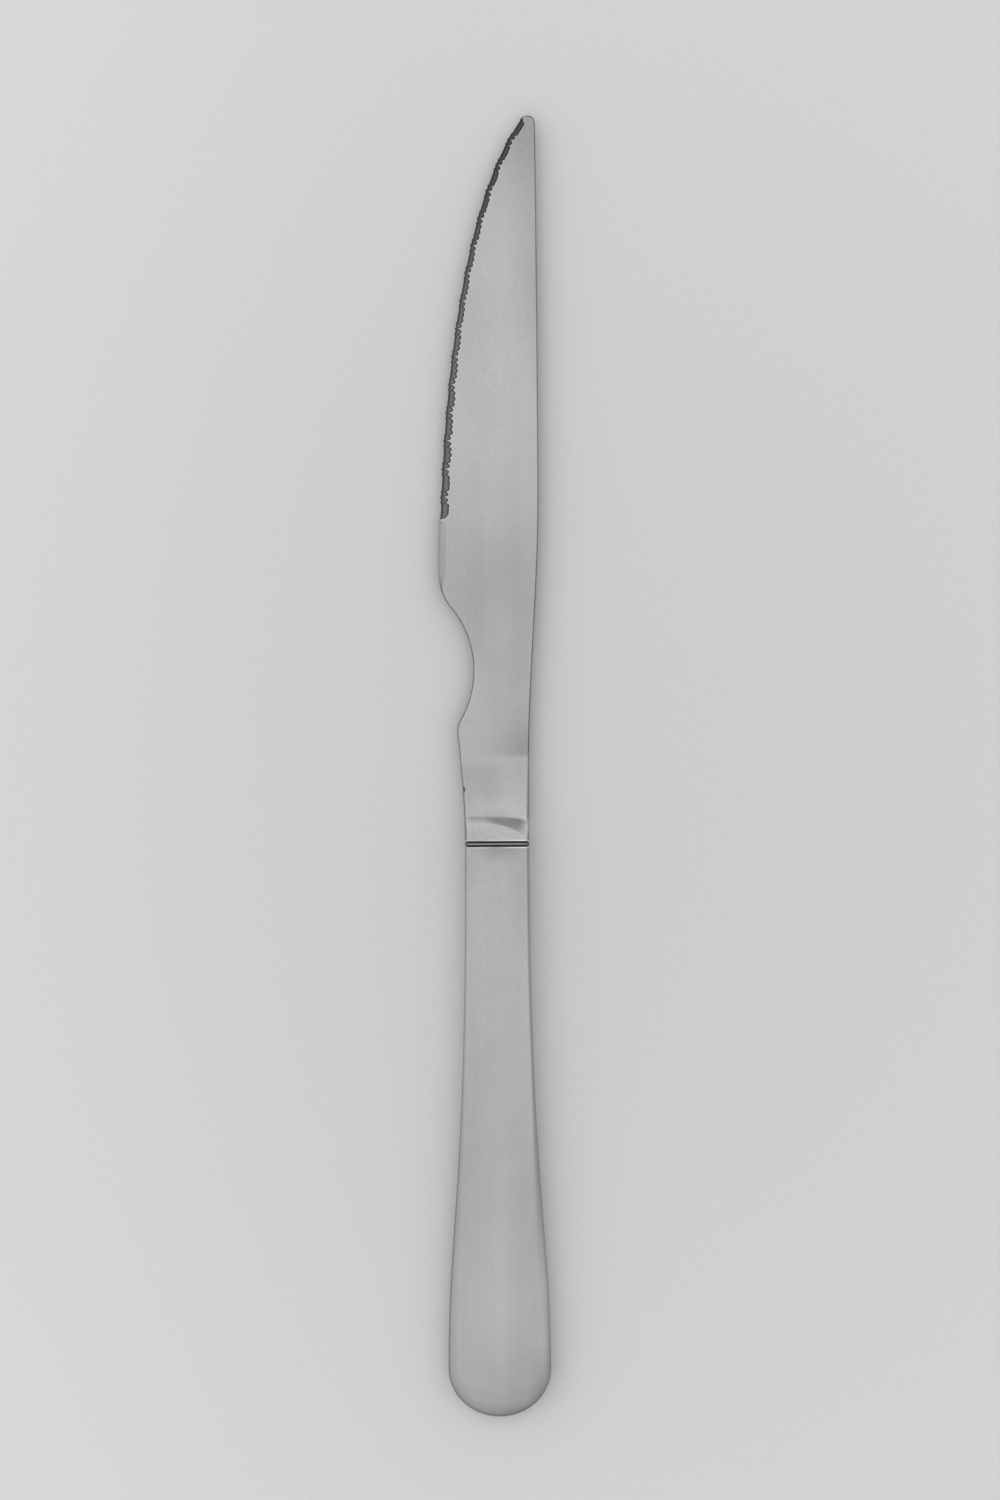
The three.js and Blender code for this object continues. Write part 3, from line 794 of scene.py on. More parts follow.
def spine_rows(skin, shape):
    """Rows over spine and nose, from the cove to the end of the cutting edge."""
    blade = shape.blade
    run = shape.spine_run()
    start = Vector((shape.spine_at(blade.cove_reach), blade.cove_reach))
    rows = []
    for place, points in zip(run, shape.run_profiles(run, start, shape.edge_end, shape.edge_end)):
        # Painted highlight on the worn spine, and painted shade on its wall that weakens towards the tip
        rows.append(skin.row(points, SPINE_WEAR_AND_HIGHLIGHT, lerp(SPINE_WALL, TIP_WALL, place.y / blade.reach)))
    return rows


def belly_rows(skin, shape, plain_edge, heel_end):
    """Rows over plain edge, heel, choil, spur and belly, from the serrations to the cove."""
    blade = shape.blade
    run = shape.belly_run(plain_edge)
    end = Vector((shape.belly_at(blade.cove_reach), blade.cove_reach))
    rows = []
    for place, points in zip(run, shape.run_profiles(run, heel_end, end, heel_end)):
        plain = shape.plain_share(place)
        # Painted shade on the wall, and on the plain edge's bevel
        rows.append(skin.row(points, wall=lerp(1.0, PLAIN_WALL, plain), bevel_shade=PLAIN_BEVEL_SHADE * plain))
    return rows


def rim_points(shape, serrated):
    """Line on the front face beside the serrations; it closes up at both ends."""
    backs = [column[-1].co.to_2d() for column in serrated]
    last = len(serrated) - 1
    points = []
    for i, column in enumerate(serrated):
        along = (backs[min(last, i + RIM_SPAN)] - backs[max(0, i - RIM_SPAN)]).normalized()
        width = shape.blade.rim * max(smoothstep(min(i, last - i), 0, RIM_SPAN), LEAST_EASE)
        place = column[0].co.to_2d() + Vector((along.y, -along.x)) * width
        points.append(Vector((place.x, place.y, shape.face_at(place))))
    return points


def joint_loops(skin, knife):
    """Polished rim and broken edge of the bolster at the joint, both with a painted highlight."""
    neck = knife.neck
    rim_start = joint_face(knife) + neck.ease + neck.rim
    loops = [skin.loop(neck_section(knife, rim_start + neck.ease, 0.0), wall=COVE_WALL)]
    loops.append(skin.worn_highlight_loop(neck_section(knife, rim_start, 0.0)))
    for share in shares(ARRIS_STEPS):
        angle = QUARTER * share
        y = joint_face(knife) + neck.ease * (1 - math.sin(angle))
        loops.append(skin.worn_highlight_loop(neck_section(knife, y, neck.ease * (1 - math.cos(angle)))))
    return loops


def spigot_loops(skin, knife):
    """Solder in both joint lines, and the spigot that passes through the ring into the shells."""
    neck = knife.neck
    solder = neck.solder_depth
    inset = neck.wall + neck.clearance
    ring_face = neck.ring / 2 + neck.solder_gap
    mouth = neck.solder_gap - joint_face(knife)
    places = (
        (joint_face(knife), solder), (ring_face, solder), (ring_face, inset), (-ring_face, inset),
        (-ring_face, solder), (mouth, solder), (mouth, inset),
        (-joint_face(knife) - knife.tang.spigot, inset),
    )
    return [skin.loop(neck_section(knife, y, depth)) for y, depth in places]


def tang_loops(skin, knife):
    """Tang behind the spigot, with its notches and its round end."""
    tang = knife.tang
    half_height = tang.thickness / 2
    start = -joint_face(knife) - tang.spigot
    loops = [skin.loop(bar_section(start, tang.width / 2, half_height, tang.rounding))]
    for y, half_width in tang_stations(tang):
        loops.append(skin.loop(bar_section(y, half_width, half_height, min(tang.rounding, half_width))))
    return loops


def blade_skin(knife, strip):
    """Forging in one skin: flat faces, eased walls, serrations, cove, land, spigot and tang."""
    ground, satin, solder = range(3)
    shape = BladeShape(knife)
    skin = Skin(strip)
    for face in skin.bm.faces:
        face.material_index = ground
    serrated = skin.columns(ROWS_ACROSS)
    heel_end = serrated[0][0].co.to_2d()
    bolster = bolster_loops(skin, shape)
    cove = bolster[0]
    spine = [cove.spine, *spine_rows(skin, shape)]
    belly = [*belly_rows(skin, shape, knife.serration.plain_edge, heel_end), cove.belly]
    for run in (spine + [serrated[-1]], [serrated[0]] + belly):
        for first, second in pairs(run):
            skin.band(first, second, satin)

    rim = skin.plain_row(rim_points(shape, serrated))
    teeth = [column[0] for column in serrated]
    # Painted highlight on the worn teeth, fading out over the flat rim band
    for vert in teeth:
        vert[skin.wear] = TEETH_WEAR_AND_HIGHLIGHT
    skin.band(rim, teeth, satin)
    spine_front, belly_front = ([column[0] for column in run] for run in (spine, belly))
    skin.face([*spine_front, teeth[-1], *reversed(rim), teeth[0], *belly_front, *cove.front], satin)
    outline = [*spine, *reversed(serrated), *belly]
    skin.face([column[-1] for column in outline] + cove.back, satin)

    joint = joint_loops(skin, knife)
    for first, second in pairs(bolster + joint):
        skin.tube(first.around(), second.around(), satin)
    behind = [joint[-1], *spigot_loops(skin, knife), *tang_loops(skin, knife)]
    for first, second in pairs(behind):
        skin.tube(first.around(), second.around(), solder)
    end = behind[-1]
    skin.band(
        [*end.belly[:1], *end.front, *end.spine[:1]],
        [*end.belly[-1:], *end.back, *end.spine[-1:]],
        solder,
    )
    return skin


def ring_skin(knife):
    """Joint ring: eased outside, flat sides, and the bore that fits the spigot."""
    steel, solder = range(2)
    neck = knife.neck
    half = neck.ring / 2
    bend = neck.ease * BEND_SHARE
    skin = Skin()
    outside = [
        (half, neck.ease), (half - bend, bend), (half - neck.ease, 0),
        (neck.ease - half, 0), (bend - half, bend), (-half, neck.ease),
    ]
    bore = [(-half, neck.wall), (half, neck.wall)]
    # Worn edges, with painted shade on their walls
    loops = [skin.loop(neck_section(knife, y, inset), 1.0, 1.0).around() for y, inset in outside + bore]
    for first, second in pairs(loops[:len(outside)]):
        skin.tube(first, second, steel)
    for first, second in pairs(loops[len(outside) - 1:] + loops[:1]):
        skin.tube(first, second, solder)
    return skin


# Place on the handle's outline, the way out there, and how far a broken edge draws it in
Station = namedtuple("Station", "place outward draw")


class HandleShape:
    """Outline and rounded body of the handle."""

    def __init__(self, knife):
        self.neck = knife.neck
        self.handle = knife.handle
        self.taper = handle_taper(knife)
        self.mouth = -joint_face(knife)
        right = self.right_side()
        left = [
            Station(Vector((-s.place.x, s.place.y)), Vector((-s.outward.x, s.outward.y)), s.draw)
            for s in reversed(right[1:])
        ]
        self.stations = left + right

    def right_side(self):
        """Butt as a quarter ellipse, flank as one curve, and the broken edge at the mouth."""
        handle = self.handle
        half = handle.butt_width / 2
        shoulder = handle.butt_round - handle.reach
        neck_half = self.neck.width / 2
        rim_end = self.mouth - self.neck.ease
        rim_start = rim_end - self.neck.rim
        places = []
        for share in shares(BUTT_STEPS):
            angle = QUARTER * (share - 1)
            places.append(Vector((half * math.cos(angle), shoulder + handle.butt_round * math.sin(angle))))
        flank = interpolate_bezier(
            places[-1], Vector((half, shoulder + handle.butt_handle)),
            Vector((neck_half, self.mouth - handle.neck_handle)),
            Vector((neck_half, rim_start - self.neck.ease)), FLANK_STEPS + 1,
        )
        places += [point.to_2d() for point in flank[1:]]
        places += [Vector((neck_half, rim_start)), Vector((neck_half, rim_end))]
        path = [Vector((-places[1].x, places[1].y)), *places, places[-1] + Vector((0, self.neck.ease))]
        stations = []
        for i, place in enumerate(places):
            along = (path[i + 2] - path[i]).normalized()
            stations.append(Station(place, Vector((along.y, -along.x)), 0.0))
        stations.append(Station(Vector((neck_half, self.mouth)), Vector((1, 0)), self.neck.ease))
        return stations

    def row(self, inset, angle=QUARTER, facing=1, height=None, drawn=True):
        """Points along the outline at one place of the rounded edge, or at a given height."""
        neck = self.neck
        handle = self.handle
        points = []
        for station in self.stations:
            depth = inset + (station.draw if drawn else 0.0)
            crown = smoothstep(-station.place.y, handle.crown_start, handle.reach - handle.butt_round)
            flank_roll = lerp(neck.rounding, handle.crown_roll, crown)
            roll = lerp(flank_roll, handle.butt_roll, max(0.0, -station.outward.y) ** 2)
            drop = max(lerp(neck.rounding, handle.crown_drop, crown) - depth, neck.least_rounding)
            sweep = depth + max(roll - depth, neck.least_rounding) * (1 - math.sin(angle))
            spot = station.place - station.outward * sweep
            flat = neck.thickness / 2 - depth + self.taper * (spot.y - self.mouth)
            z = flat - drop * (1 - math.cos(angle)) if height is None else height
            points.append(Vector((spot.x, spot.y, facing * z)))
        return points


def rounding_painted_tone(share):
    """Painted shade or highlight on the handle's rounding, from the flat at 0 to the wall at 1."""
    if share > EDGE_START:
        return HANDLE_EDGE_SHADE
    return HANDLE_ROLL_LIGHT if share > ROLL_START else 0.0


def shell_skin(knife, facing):
    """Pressed half shell: rounded outside, rim along the seam, inside, and the mouth at the joint."""
    satin, solder = range(2)
    shape = HandleShape(knife)
    rim_ease = knife.handle.rim_ease
    seam = knife.handle.seam / 2
    wall = knife.neck.wall
    skin = Skin()
    rows = [
        skin.plain_row(shape.row(0.0, QUARTER * share, facing), wall=rounding_painted_tone(share))
        for share in shares(FILLET_STEPS)
    ]
    rows.append(skin.plain_row(shape.row(0.0, facing=facing, height=seam + rim_ease), wall=HANDLE_EDGE_SHADE))
    rows.append(skin.plain_row(shape.row(rim_ease, facing=facing, height=seam)))
    outside = rows[:-1]
    rows.append(skin.plain_row(shape.row(wall, facing=facing, height=seam, drawn=False)))
    for share in reversed(shares(FILLET_STEPS)):
        rows.append(skin.plain_row(shape.row(wall, QUARTER * share, facing, drawn=False)))
    # Polished rim at the mouth, with a painted highlight
    for row in outside:
        for vert in (*row[:RIM_STATIONS], *row[-RIM_STATIONS:]):
            vert[skin.wear] = 1.0
    for first, second in pairs(rows):
        skin.band(first, second, satin)
    flat = rows[0]
    skin.band(flat[:RIM_STATIONS + 1], flat[:-RIM_STATIONS - 2:-1], satin)
    skin.face(flat[RIM_STATIONS:-RIM_STATIONS], satin)
    skin.face(rows[-1], satin)
    right = [row[-1] for row in rows]
    left = [row[0] for row in rows]
    skin.face(right + left[::-1], solder)
    return skin


def seam_skin(knife):
    """Strip of braze between the rims of the shells, a little below their surface."""
    shape = HandleShape(knife)
    sink = knife.handle.seam_sink
    half = knife.handle.seam / 2
    wall = knife.neck.wall
    skin = Skin()
    rows = [
        skin.plain_row(shape.row(inset, height=height, drawn=False))
        for inset, height in ((sink, half), (sink, -half), (wall, -half), (wall, half))
    ]
    for first, second in pairs(rows + rows[:1]):
        skin.band(first, second, 0)
    skin.face([row[0] for row in rows], 0)
    skin.face([row[-1] for row in rows], 0)
    return skin


# Node trees

class Field:
    """Value in a node tree, with the usual arithmetic."""

    def __init__(self, graph, socket):
        self.graph = graph
        self.socket = socket

    def __add__(self, other):
        return self.graph.math("ADD", self, other)

    def __sub__(self, other):
        return self.graph.math("SUBTRACT", self, other)

    def __rsub__(self, other):
        return self.graph.math("SUBTRACT", other, self)

    def __mul__(self, other):
        return self.graph.math("MULTIPLY", self, other)

    def __truediv__(self, other):
        return self.graph.math("DIVIDE", self, other)

    __radd__ = __add__
    __rmul__ = __mul__


class Graph:
    """Node tree with short ways to add nodes and join their sockets."""

    def __init__(self, tree):
        self.tree = tree

    def feed(self, socket, value):
        """Joins a socket to a field or another socket, or sets it."""
        if isinstance(value, Field):
            value = value.socket
        if isinstance(value, bpy.types.NodeSocket):
            self.tree.links.new(value, socket)
        else:
            socket.default_value = value

    def node(self, kind, inputs=None, **settings):
        """New node with its settings and inputs."""
        node = self.tree.nodes.new(kind)
        for name, value in settings.items():
            setattr(node, name, value)
        for name, value in (inputs or {}).items():
            self.feed(node.inputs[name], value)
        return node

    def field(self, kind, inputs=None, output=0, **settings):
        """One output of a new node."""
        return Field(self, self.node(kind, inputs, **settings).outputs[output])

    def math(self, operation, *operands):
        """Arithmetic on numbers."""
        return self.field("ShaderNodeMath", dict(enumerate(operands)), operation=operation)

    def vector(self, operation, *operands, output=0):
        """Arithmetic on vectors."""
        return self.field("ShaderNodeVectorMath", dict(enumerate(operands)), output, operation=operation)

    def combine(self, x, y, z):
        """Vector from three numbers."""
        return self.field("ShaderNodeCombineXYZ", {"X": x, "Y": y, "Z": z})

    def separate(self, vector):
        """Three numbers from a vector."""
        node = self.node("ShaderNodeSeparateXYZ", {"Vector": vector})
        return [Field(self, socket) for socket in node.outputs]

    def blend(self, low, high, share):
        """Number between two others."""
        return share * (high - low) + low

    def scaled(self, vector, amount):
        """Vector or colour times a number."""
        return self.field("ShaderNodeVectorMath", {"Vector": vector, "Scale": amount}, operation="SCALE")

    def soft_step(self, value, low, high):
        """Soft rise from 0 to 1 between two values."""
        inputs = {"Value": value, "From Min": low, "From Max": high}
        return self.field("ShaderNodeMapRange", inputs, interpolation_type="SMOOTHSTEP")

    def group(self, tree, **inputs):
        """Outputs of a shared group, by name."""
        kind = "GeometryNodeGroup" if tree.bl_idname == "GeometryNodeTree" else "ShaderNodeGroup"
        node = self.tree.nodes.new(kind)
        node.node_tree = tree
        for name, value in inputs.items():
            self.feed(node.inputs[name.replace("_", " ").capitalize()], value)
        return {socket.name: Field(self, socket) for socket in node.outputs}


FLOAT = "NodeSocketFloat"
VECTOR = "NodeSocketVector"
MATERIAL = "NodeSocketMaterial"
GEOMETRY = "NodeSocketGeometry"


def new_group(name, kind, inputs, outputs):
    """Empty group with a socket type for each named input and output, and its inputs as fields."""
    tree = bpy.data.node_groups.new(name, kind)
    for label, socket_type in inputs.items():
        tree.interface.new_socket(label, in_out="INPUT", socket_type=socket_type)
    for label, socket_type in outputs.items():
        tree.interface.new_socket(label, in_out="OUTPUT", socket_type=socket_type)
    graph = Graph(tree)
    given = {socket.name: Field(graph, socket) for socket in graph.node("NodeGroupInput").outputs}
    return graph, given


# Serrations

LEVEL_INPUTS = (
    "Along", "Wide gullets", "Narrow gullets", "Wide", "Narrow", "Ripple", "Side tooth", "Main tooth",
    "Ripple start", "Ripple end", "Roundness", "Unevenness", "Seed",
)


def gullet_level_group():
    """Level of the ground surface, so many gullets along: ridge to ridge through a round bottom."""
    inputs = {label: FLOAT for label in LEVEL_INPUTS}
    graph, given = new_group("Gullet level", "GeometryNodeTree", inputs, {"Level": FLOAT})
    wide_count = given["Wide gullets"]
    run = wide_count + given["Narrow gullets"]

    def ridge(number):
        at = graph.math("FLOORED_MODULO", number, run)
        side = graph.math("COMPARE", at, 0.0, 0.5) + graph.math("COMPARE", at, wide_count, 0.5)
        main = graph.math("GREATER_THAN", at, wide_count + 0.5)
        fading_in = graph.soft_step(number, given["Ripple start"] - run, given["Ripple start"])
        fading_out = graph.soft_step(number, given["Ripple end"], given["Ripple end"] + run)
        ripple = graph.blend(given["Wide"], given["Ripple"], fading_in - fading_out)
        return side * given["Side tooth"] + main * given["Main tooth"] + (1.0 - side - main) * ripple

    index = graph.math("FLOOR", given["Along"])
    share = given["Along"] - index
    between = graph.blend(ridge(index), ridge(index + 1.0), share)
    wide = graph.math("LESS_THAN", graph.math("FLOORED_MODULO", index, run), wide_count - 0.5)
    chance = graph.field("ShaderNodeTexWhiteNoise", {"W": index + given["Seed"]}, noise_dimensions="1D")
    uneven = 1.0 + given["Unevenness"] * (chance * 2.0 - 1.0)
    bottom = graph.blend(given["Narrow"], given["Wide"], wide) * uneven
    swing = share * 2.0 - 1.0
    round_off = graph.math("POWER", graph.math("MAXIMUM", 1.0 - swing * swing, 0.0), given["Roundness"])
    graph.node("NodeGroupOutput", {"Level": graph.blend(between, bottom, round_off)})
    return graph.tree


def labels_of(settings):
    """Name on the panel of each property of a group, with its value."""
    names = type(settings).__annotations__
    return {settings.bl_rna.properties[name].name: getattr(settings, name) for name in names}


def serration_tree(serration):
    """Ground strip along the cutting edge: columns run along the edge, rows across it."""
    vectors = ("Edge start", "Heel handle", "Tip handle", "Edge end", "Face slope")
    inputs = {label: VECTOR for label in vectors}
    inputs.update({label: FLOAT for label in ("Face rise", "Rows", "Steps", *labels_of(serration))})
    inputs["Finish"] = MATERIAL
    graph, given = new_group("Serrated edge", "GeometryNodeTree", inputs, {"Geometry": GEOMETRY})

    edge = graph.field("GeometryNodeCurvePrimitiveBezierSegment", {
        "Resolution": EDGE_RESOLUTION, "Start": given["Edge start"], "Start Handle": given["Heel handle"],
        "End Handle": given["Tip handle"], "End": given["Edge end"],
    })
    serrated = graph.field("GeometryNodeCurveLength", {"Curve": edge}) - given["Plain edge"]
    rows = given["Rows"]
    steps = given["Steps"]
    pitch = given["Gullet pitch"]
    last = graph.math("FLOOR", serrated / pitch) * steps + 1.0
    grid = graph.field("GeometryNodeMeshGrid", {"Vertices X": last + 1.0, "Vertices Y": rows})

    index = graph.field("GeometryNodeInputIndex")
    column = graph.math("FLOOR", (index + 0.5) / rows)
    across = (index - column * rows) / (rows - 1.0)
    number = graph.math("FLOOR", (column + 0.5) / steps)
    turn = (column - number * steps) / steps
    along = number + (1.0 - graph.math("COSINE", turn * math.pi)) * 0.5
    at_end = graph.math("GREATER_THAN", column, last - 0.5)
    distance = graph.blend(along * pitch, serrated, at_end)

    sample = graph.node("GeometryNodeSampleCurve", {
        "Curves": edge, "Length": given["Plain edge"] + distance,
    }, mode="LENGTH", use_all_curves=True)
    tangent_x, tangent_y, _ = graph.separate(sample.outputs["Tangent"])
    inward = graph.combine(tangent_y, 0.0 - tangent_x, 0.0)

    def level(kind, main_tooth):
        return graph.group(
            levels, along=distance / pitch, wide_gullets=given["Wide gullets"],
            narrow_gullets=given["Narrow gullets"], wide=given["Wide " + kind],
            narrow=given["Narrow " + kind], ripple=given["Ripple " + kind],
            side_tooth=given["Side tooth " + kind], main_tooth=main_tooth,
            ripple_start=given["Ripple start"] / pitch, ripple_end=given["Ripple end"] / pitch,
            roundness=given["Roundness"], unevenness=given["Unevenness"], seed=given["Seed"],
        )["Level"]

    levels = gullet_level_group()
    to_tip = serrated - distance
    end = graph.math("MINIMUM", distance / given["Heel run-out"], to_tip / given["Tip run-out"])
    short = 1.0 - graph.math("MAXIMUM", graph.math("MINIMUM", end, 1.0), 0.0)
    fade = graph.math("SQRT", 1.0 - short * short)
    gone = distance / serrated
    shrink = graph.blend(1.0, given["Tip share"], gone * gone)
    swell = graph.blend(given["Heel share"], 1.0, graph.soft_step(gone, *SWELL_RUN))
    reach = level("reach", given["Main tooth reach"]) * shrink * swell * fade
    set_back = (level("notch", 0.0) - given["Tooth line"] * graph.blend(*TOOTH_LINE_SHARES, gone)) * fade

    front = graph.vector("ADD", sample.outputs["Position"], graph.scaled(inward, reach))
    back = graph.vector("ADD", sample.outputs["Position"], graph.scaled(inward, set_back))

    def face(place):
        return given["Face rise"] + graph.vector("DOT_PRODUCT", given["Face slope"], place, output="Value")

    drop = across + given["Hollow"] * graph.math("SINE", across * (2 * math.pi))
    height = graph.blend(face(front), 0.0 - face(back), drop)
    spot = graph.vector("ADD", front, graph.scaled(graph.vector("SUBTRACT", back, front), across))
    position = graph.vector("ADD", spot, graph.combine(0.0, 0.0, height))

    strip = graph.field("GeometryNodeSetPosition", {"Geometry": grid, "Position": position})
    for label, value in (("across", across), ("along", distance)):
        strip = graph.field(
            "GeometryNodeStoreNamedAttribute", {"Geometry": strip, "Name": label, "Value": value},
            data_type="FLOAT", domain="POINT",
        )
    strip = graph.field("GeometryNodeRealizeInstances", {"Geometry": strip})
    strip = graph.field("GeometryNodeSetMaterial", {"Geometry": strip, "Material": given["Finish"]})
    graph.node("NodeGroupOutput", {"Geometry": strip})
    return graph.tree


def serrated_strip(knife, finish):
    """Mesh of the ground strip."""
    shape = BladeShape(knife)
    tree = serration_tree(knife.serration)
    values = {
        "Edge start": shape.edge_start.to_3d(), "Heel handle": shape.heel_handle.to_3d(),
        "Tip handle": shape.tip_handle.to_3d(), "Edge end": shape.edge_end.to_3d(),
        "Face slope": shape.slope.to_3d(), "Face rise": shape.face_rise,
        "Rows": float(ROWS_ACROSS), "Steps": float(GULLET_STEPS), "Finish": finish,
    }
    for label, value in labels_of(knife.serration).items():
        values[label] = float(value)
    holder = bpy.data.objects.new("edge_holder", bpy.data.meshes.new("edge_holder"))
    bpy.context.scene.collection.objects.link(holder)
    modifier = holder.modifiers.new("Serrated edge", "NODES")
    modifier.node_group = tree
    for item in tree.interface.items_tree:
        if item.in_out == "INPUT":
            modifier[item.identifier] = values[item.name]
    strip = settled(holder)
    bpy.data.objects.remove(holder)
    return strip


# Finishes

# What lines, bands, clouds and grain add to the tone of satin steel, its roughness and its relief
LINE_TONE = 0.42
BAND_TONE = 0.4
CLOUD_TONE = 0.6
GRAIN_TONE = 0.9
LINE_ROUGHNESS = 0.1
CLOUD_ROUGHNESS = 0.06
GRAIN_RELIEF = 0.6
BRUSH_RELIEF = {"Strength": 0.25, "Distance": 0.01 * MM}

# Detail of fine and of smooth noise
FINE = 2.0
SMOOTH = 1.0

# Painted shade: how much darker walls and the dent are than the flats
WALL_PAINTED_SHADE = 0.5
DENT_PAINTED_SHADE = 0.8

# Edges polished by handling, with a painted highlight: how often they break off in a metre, where in the
# noise, and how much smoother they are
POLISH_BREAKS = 140.0
POLISH_RUN = (0.3, 0.6)
POLISH_SMOOTHER = 0.12

# Gullets, from the front face at 0 to the edge at 1: the borders darkened with painted shade, and how much
# tone is left in them
INNER_BORDER = (0.04, 0.28)
INNER_TONE = 0.3
OUTER_BORDER = (0.62, 0.8)
OUTER_TONE = 0.45

# Grinding lines in the gullets: how fast they change across, their tones, roughness and relief
GRIND_ACROSS = 1.5
GRIND_TONES = (0.75, 1.25)
GRIND_ROUGHNESS = (0.36, 0.58)
GRIND_RELIEF = {"Strength": 0.5, "Distance": 0.03 * MM}

# Stretch of the serrations, from the heel, over which the gullets get darker, and by how much
DARKER_RUN = (30.0 * MM, 66.0 * MM)
DARKER_TIP = 0.5

# Speckled finishes: detail of the noise, what it adds to the roughness, and the relief
SPECKLE_DETAIL = 4.0
SPECKLE_ROUGHNESS = 0.2
SPECKLE_STRENGTH = 0.3
SPECKLE_DEPTH = 0.1

# Floor: roughness, grains in a metre, tone at the knife, and what the grain adds to it
FLOOR_ROUGHNESS = 0.8
FLOOR_GRAINS = 3500.0
FLOOR_TONE = 0.96
FLOOR_MOTTLE = 0.12

# Painted light on the floor: how much lighter it gets away from the knife and on the belly's side, and over
# which distances
FAR_PAINTED_LIGHT = 0.08
FAR_RUN = (0.02, 0.2)
BELLY_PAINTED_LIGHT = 0.06
BELLY_RUN = (0.0, 0.1)


def brushing_group():
    """Satin steel brushed lengthwise: fine lines, broad soft bands, clouds and grain."""
    labels = ("Line width", "Line length", "Band width", "Band length", "Cloud", "Grain", "Mottle", "Satin")
    graph, given = new_group(
        "Lengthwise brushing", "ShaderNodeTree", {label: FLOAT for label in labels},
        {"Tone": FLOAT, "Roughness": FLOAT, "Height": FLOAT},
    )
    place = graph.field("ShaderNodeTexCoord", output="Object")

    def noise(width, run, detail):
        stretched = graph.vector("DIVIDE", place, graph.combine(width, run, width))
        inputs = {"Vector": stretched, "Scale": 1.0, "Detail": detail}
        return graph.field("ShaderNodeTexNoise", inputs) - 0.5

    lines = noise(given["Line width"], given["Line length"], FINE)
    bands = noise(given["Band width"], given["Band length"], SMOOTH)
    clouds = noise(given["Cloud"], given["Cloud"], FINE)
    grain = noise(given["Grain"], given["Grain"], SMOOTH)
    mottle = lines * LINE_TONE + bands * BAND_TONE + clouds * CLOUD_TONE + grain * GRAIN_TONE
    graph.node("NodeGroupOutput", {
        "Tone": 1.0 + mottle * given["Mottle"],
        "Roughness": given["Satin"] + lines * LINE_ROUGHNESS + clouds * CLOUD_ROUGHNESS,
        "Height": lines + grain * GRAIN_RELIEF,
    })
    return graph.tree


def painted_shade_group():
    """Soft patch of painted shade, or of painted highlight where the depth is negative, in the satin's
    colour.
    """
    inputs = {"Middle": VECTOR, "Size": VECTOR, "Depth": FLOAT, "Start": FLOAT}
    graph, given = new_group("Painted soft shade", "ShaderNodeTree", inputs, {"Tone": FLOAT})
    place = graph.field("ShaderNodeTexCoord", output="Object")
    away = graph.vector("DIVIDE", graph.vector("SUBTRACT", place, given["Middle"]), given["Size"])
    spread = graph.vector("DOT_PRODUCT", away, away, output="Value")
    patch = graph.math("EXPONENT", 0.0 - spread)
    _, along, _ = graph.separate(place)
    begun = graph.soft_step(along, given["Start"], given["Start"] + SHADE_RISE * MM)
    graph.node("NodeGroupOutput", {"Tone": 1.0 - patch * begun * given["Depth"]})
    return graph.tree


def polish_highlight_group():
    """Edges that handling has polished: smoother, with a painted highlight that lightens them, in broken
    stretches.
    """
    inputs = {"Wear": FLOAT, "Shine": FLOAT}
    graph, given = new_group("Polished edges and painted highlight", "ShaderNodeTree", inputs, {"Tone": FLOAT, "Smoother": FLOAT})
    place = graph.field("ShaderNodeTexCoord", output="Object")
    patchy = graph.field("ShaderNodeTexNoise", {"Vector": place, "Scale": POLISH_BREAKS, "Detail": FINE})
    polish = given["Wear"] * graph.soft_step(patchy, *POLISH_RUN)
    graph.node("NodeGroupOutput", {
        "Tone": 1.0 + polish * given["Shine"],
        "Smoother": polish * POLISH_SMOOTHER,
    })
    return graph.tree


def shared_group(build, name):
    """A shared group, built once."""
    return bpy.data.node_groups.get(name) or build()


def new_material(name, **constants):
    """Empty material round one shader, with its constant sockets set."""
    material = bpy.data.materials.new(name)
    material.use_nodes = True
    material.node_tree.nodes.clear()
    graph = Graph(material.node_tree)
    shader = graph.node("ShaderNodeBsdfPrincipled")
    for label, value in constants.items():
        shader.inputs[label.capitalize()].default_value = value
    graph.node("ShaderNodeOutputMaterial", {"Surface": shader.outputs["BSDF"]})
    return material, graph, shader


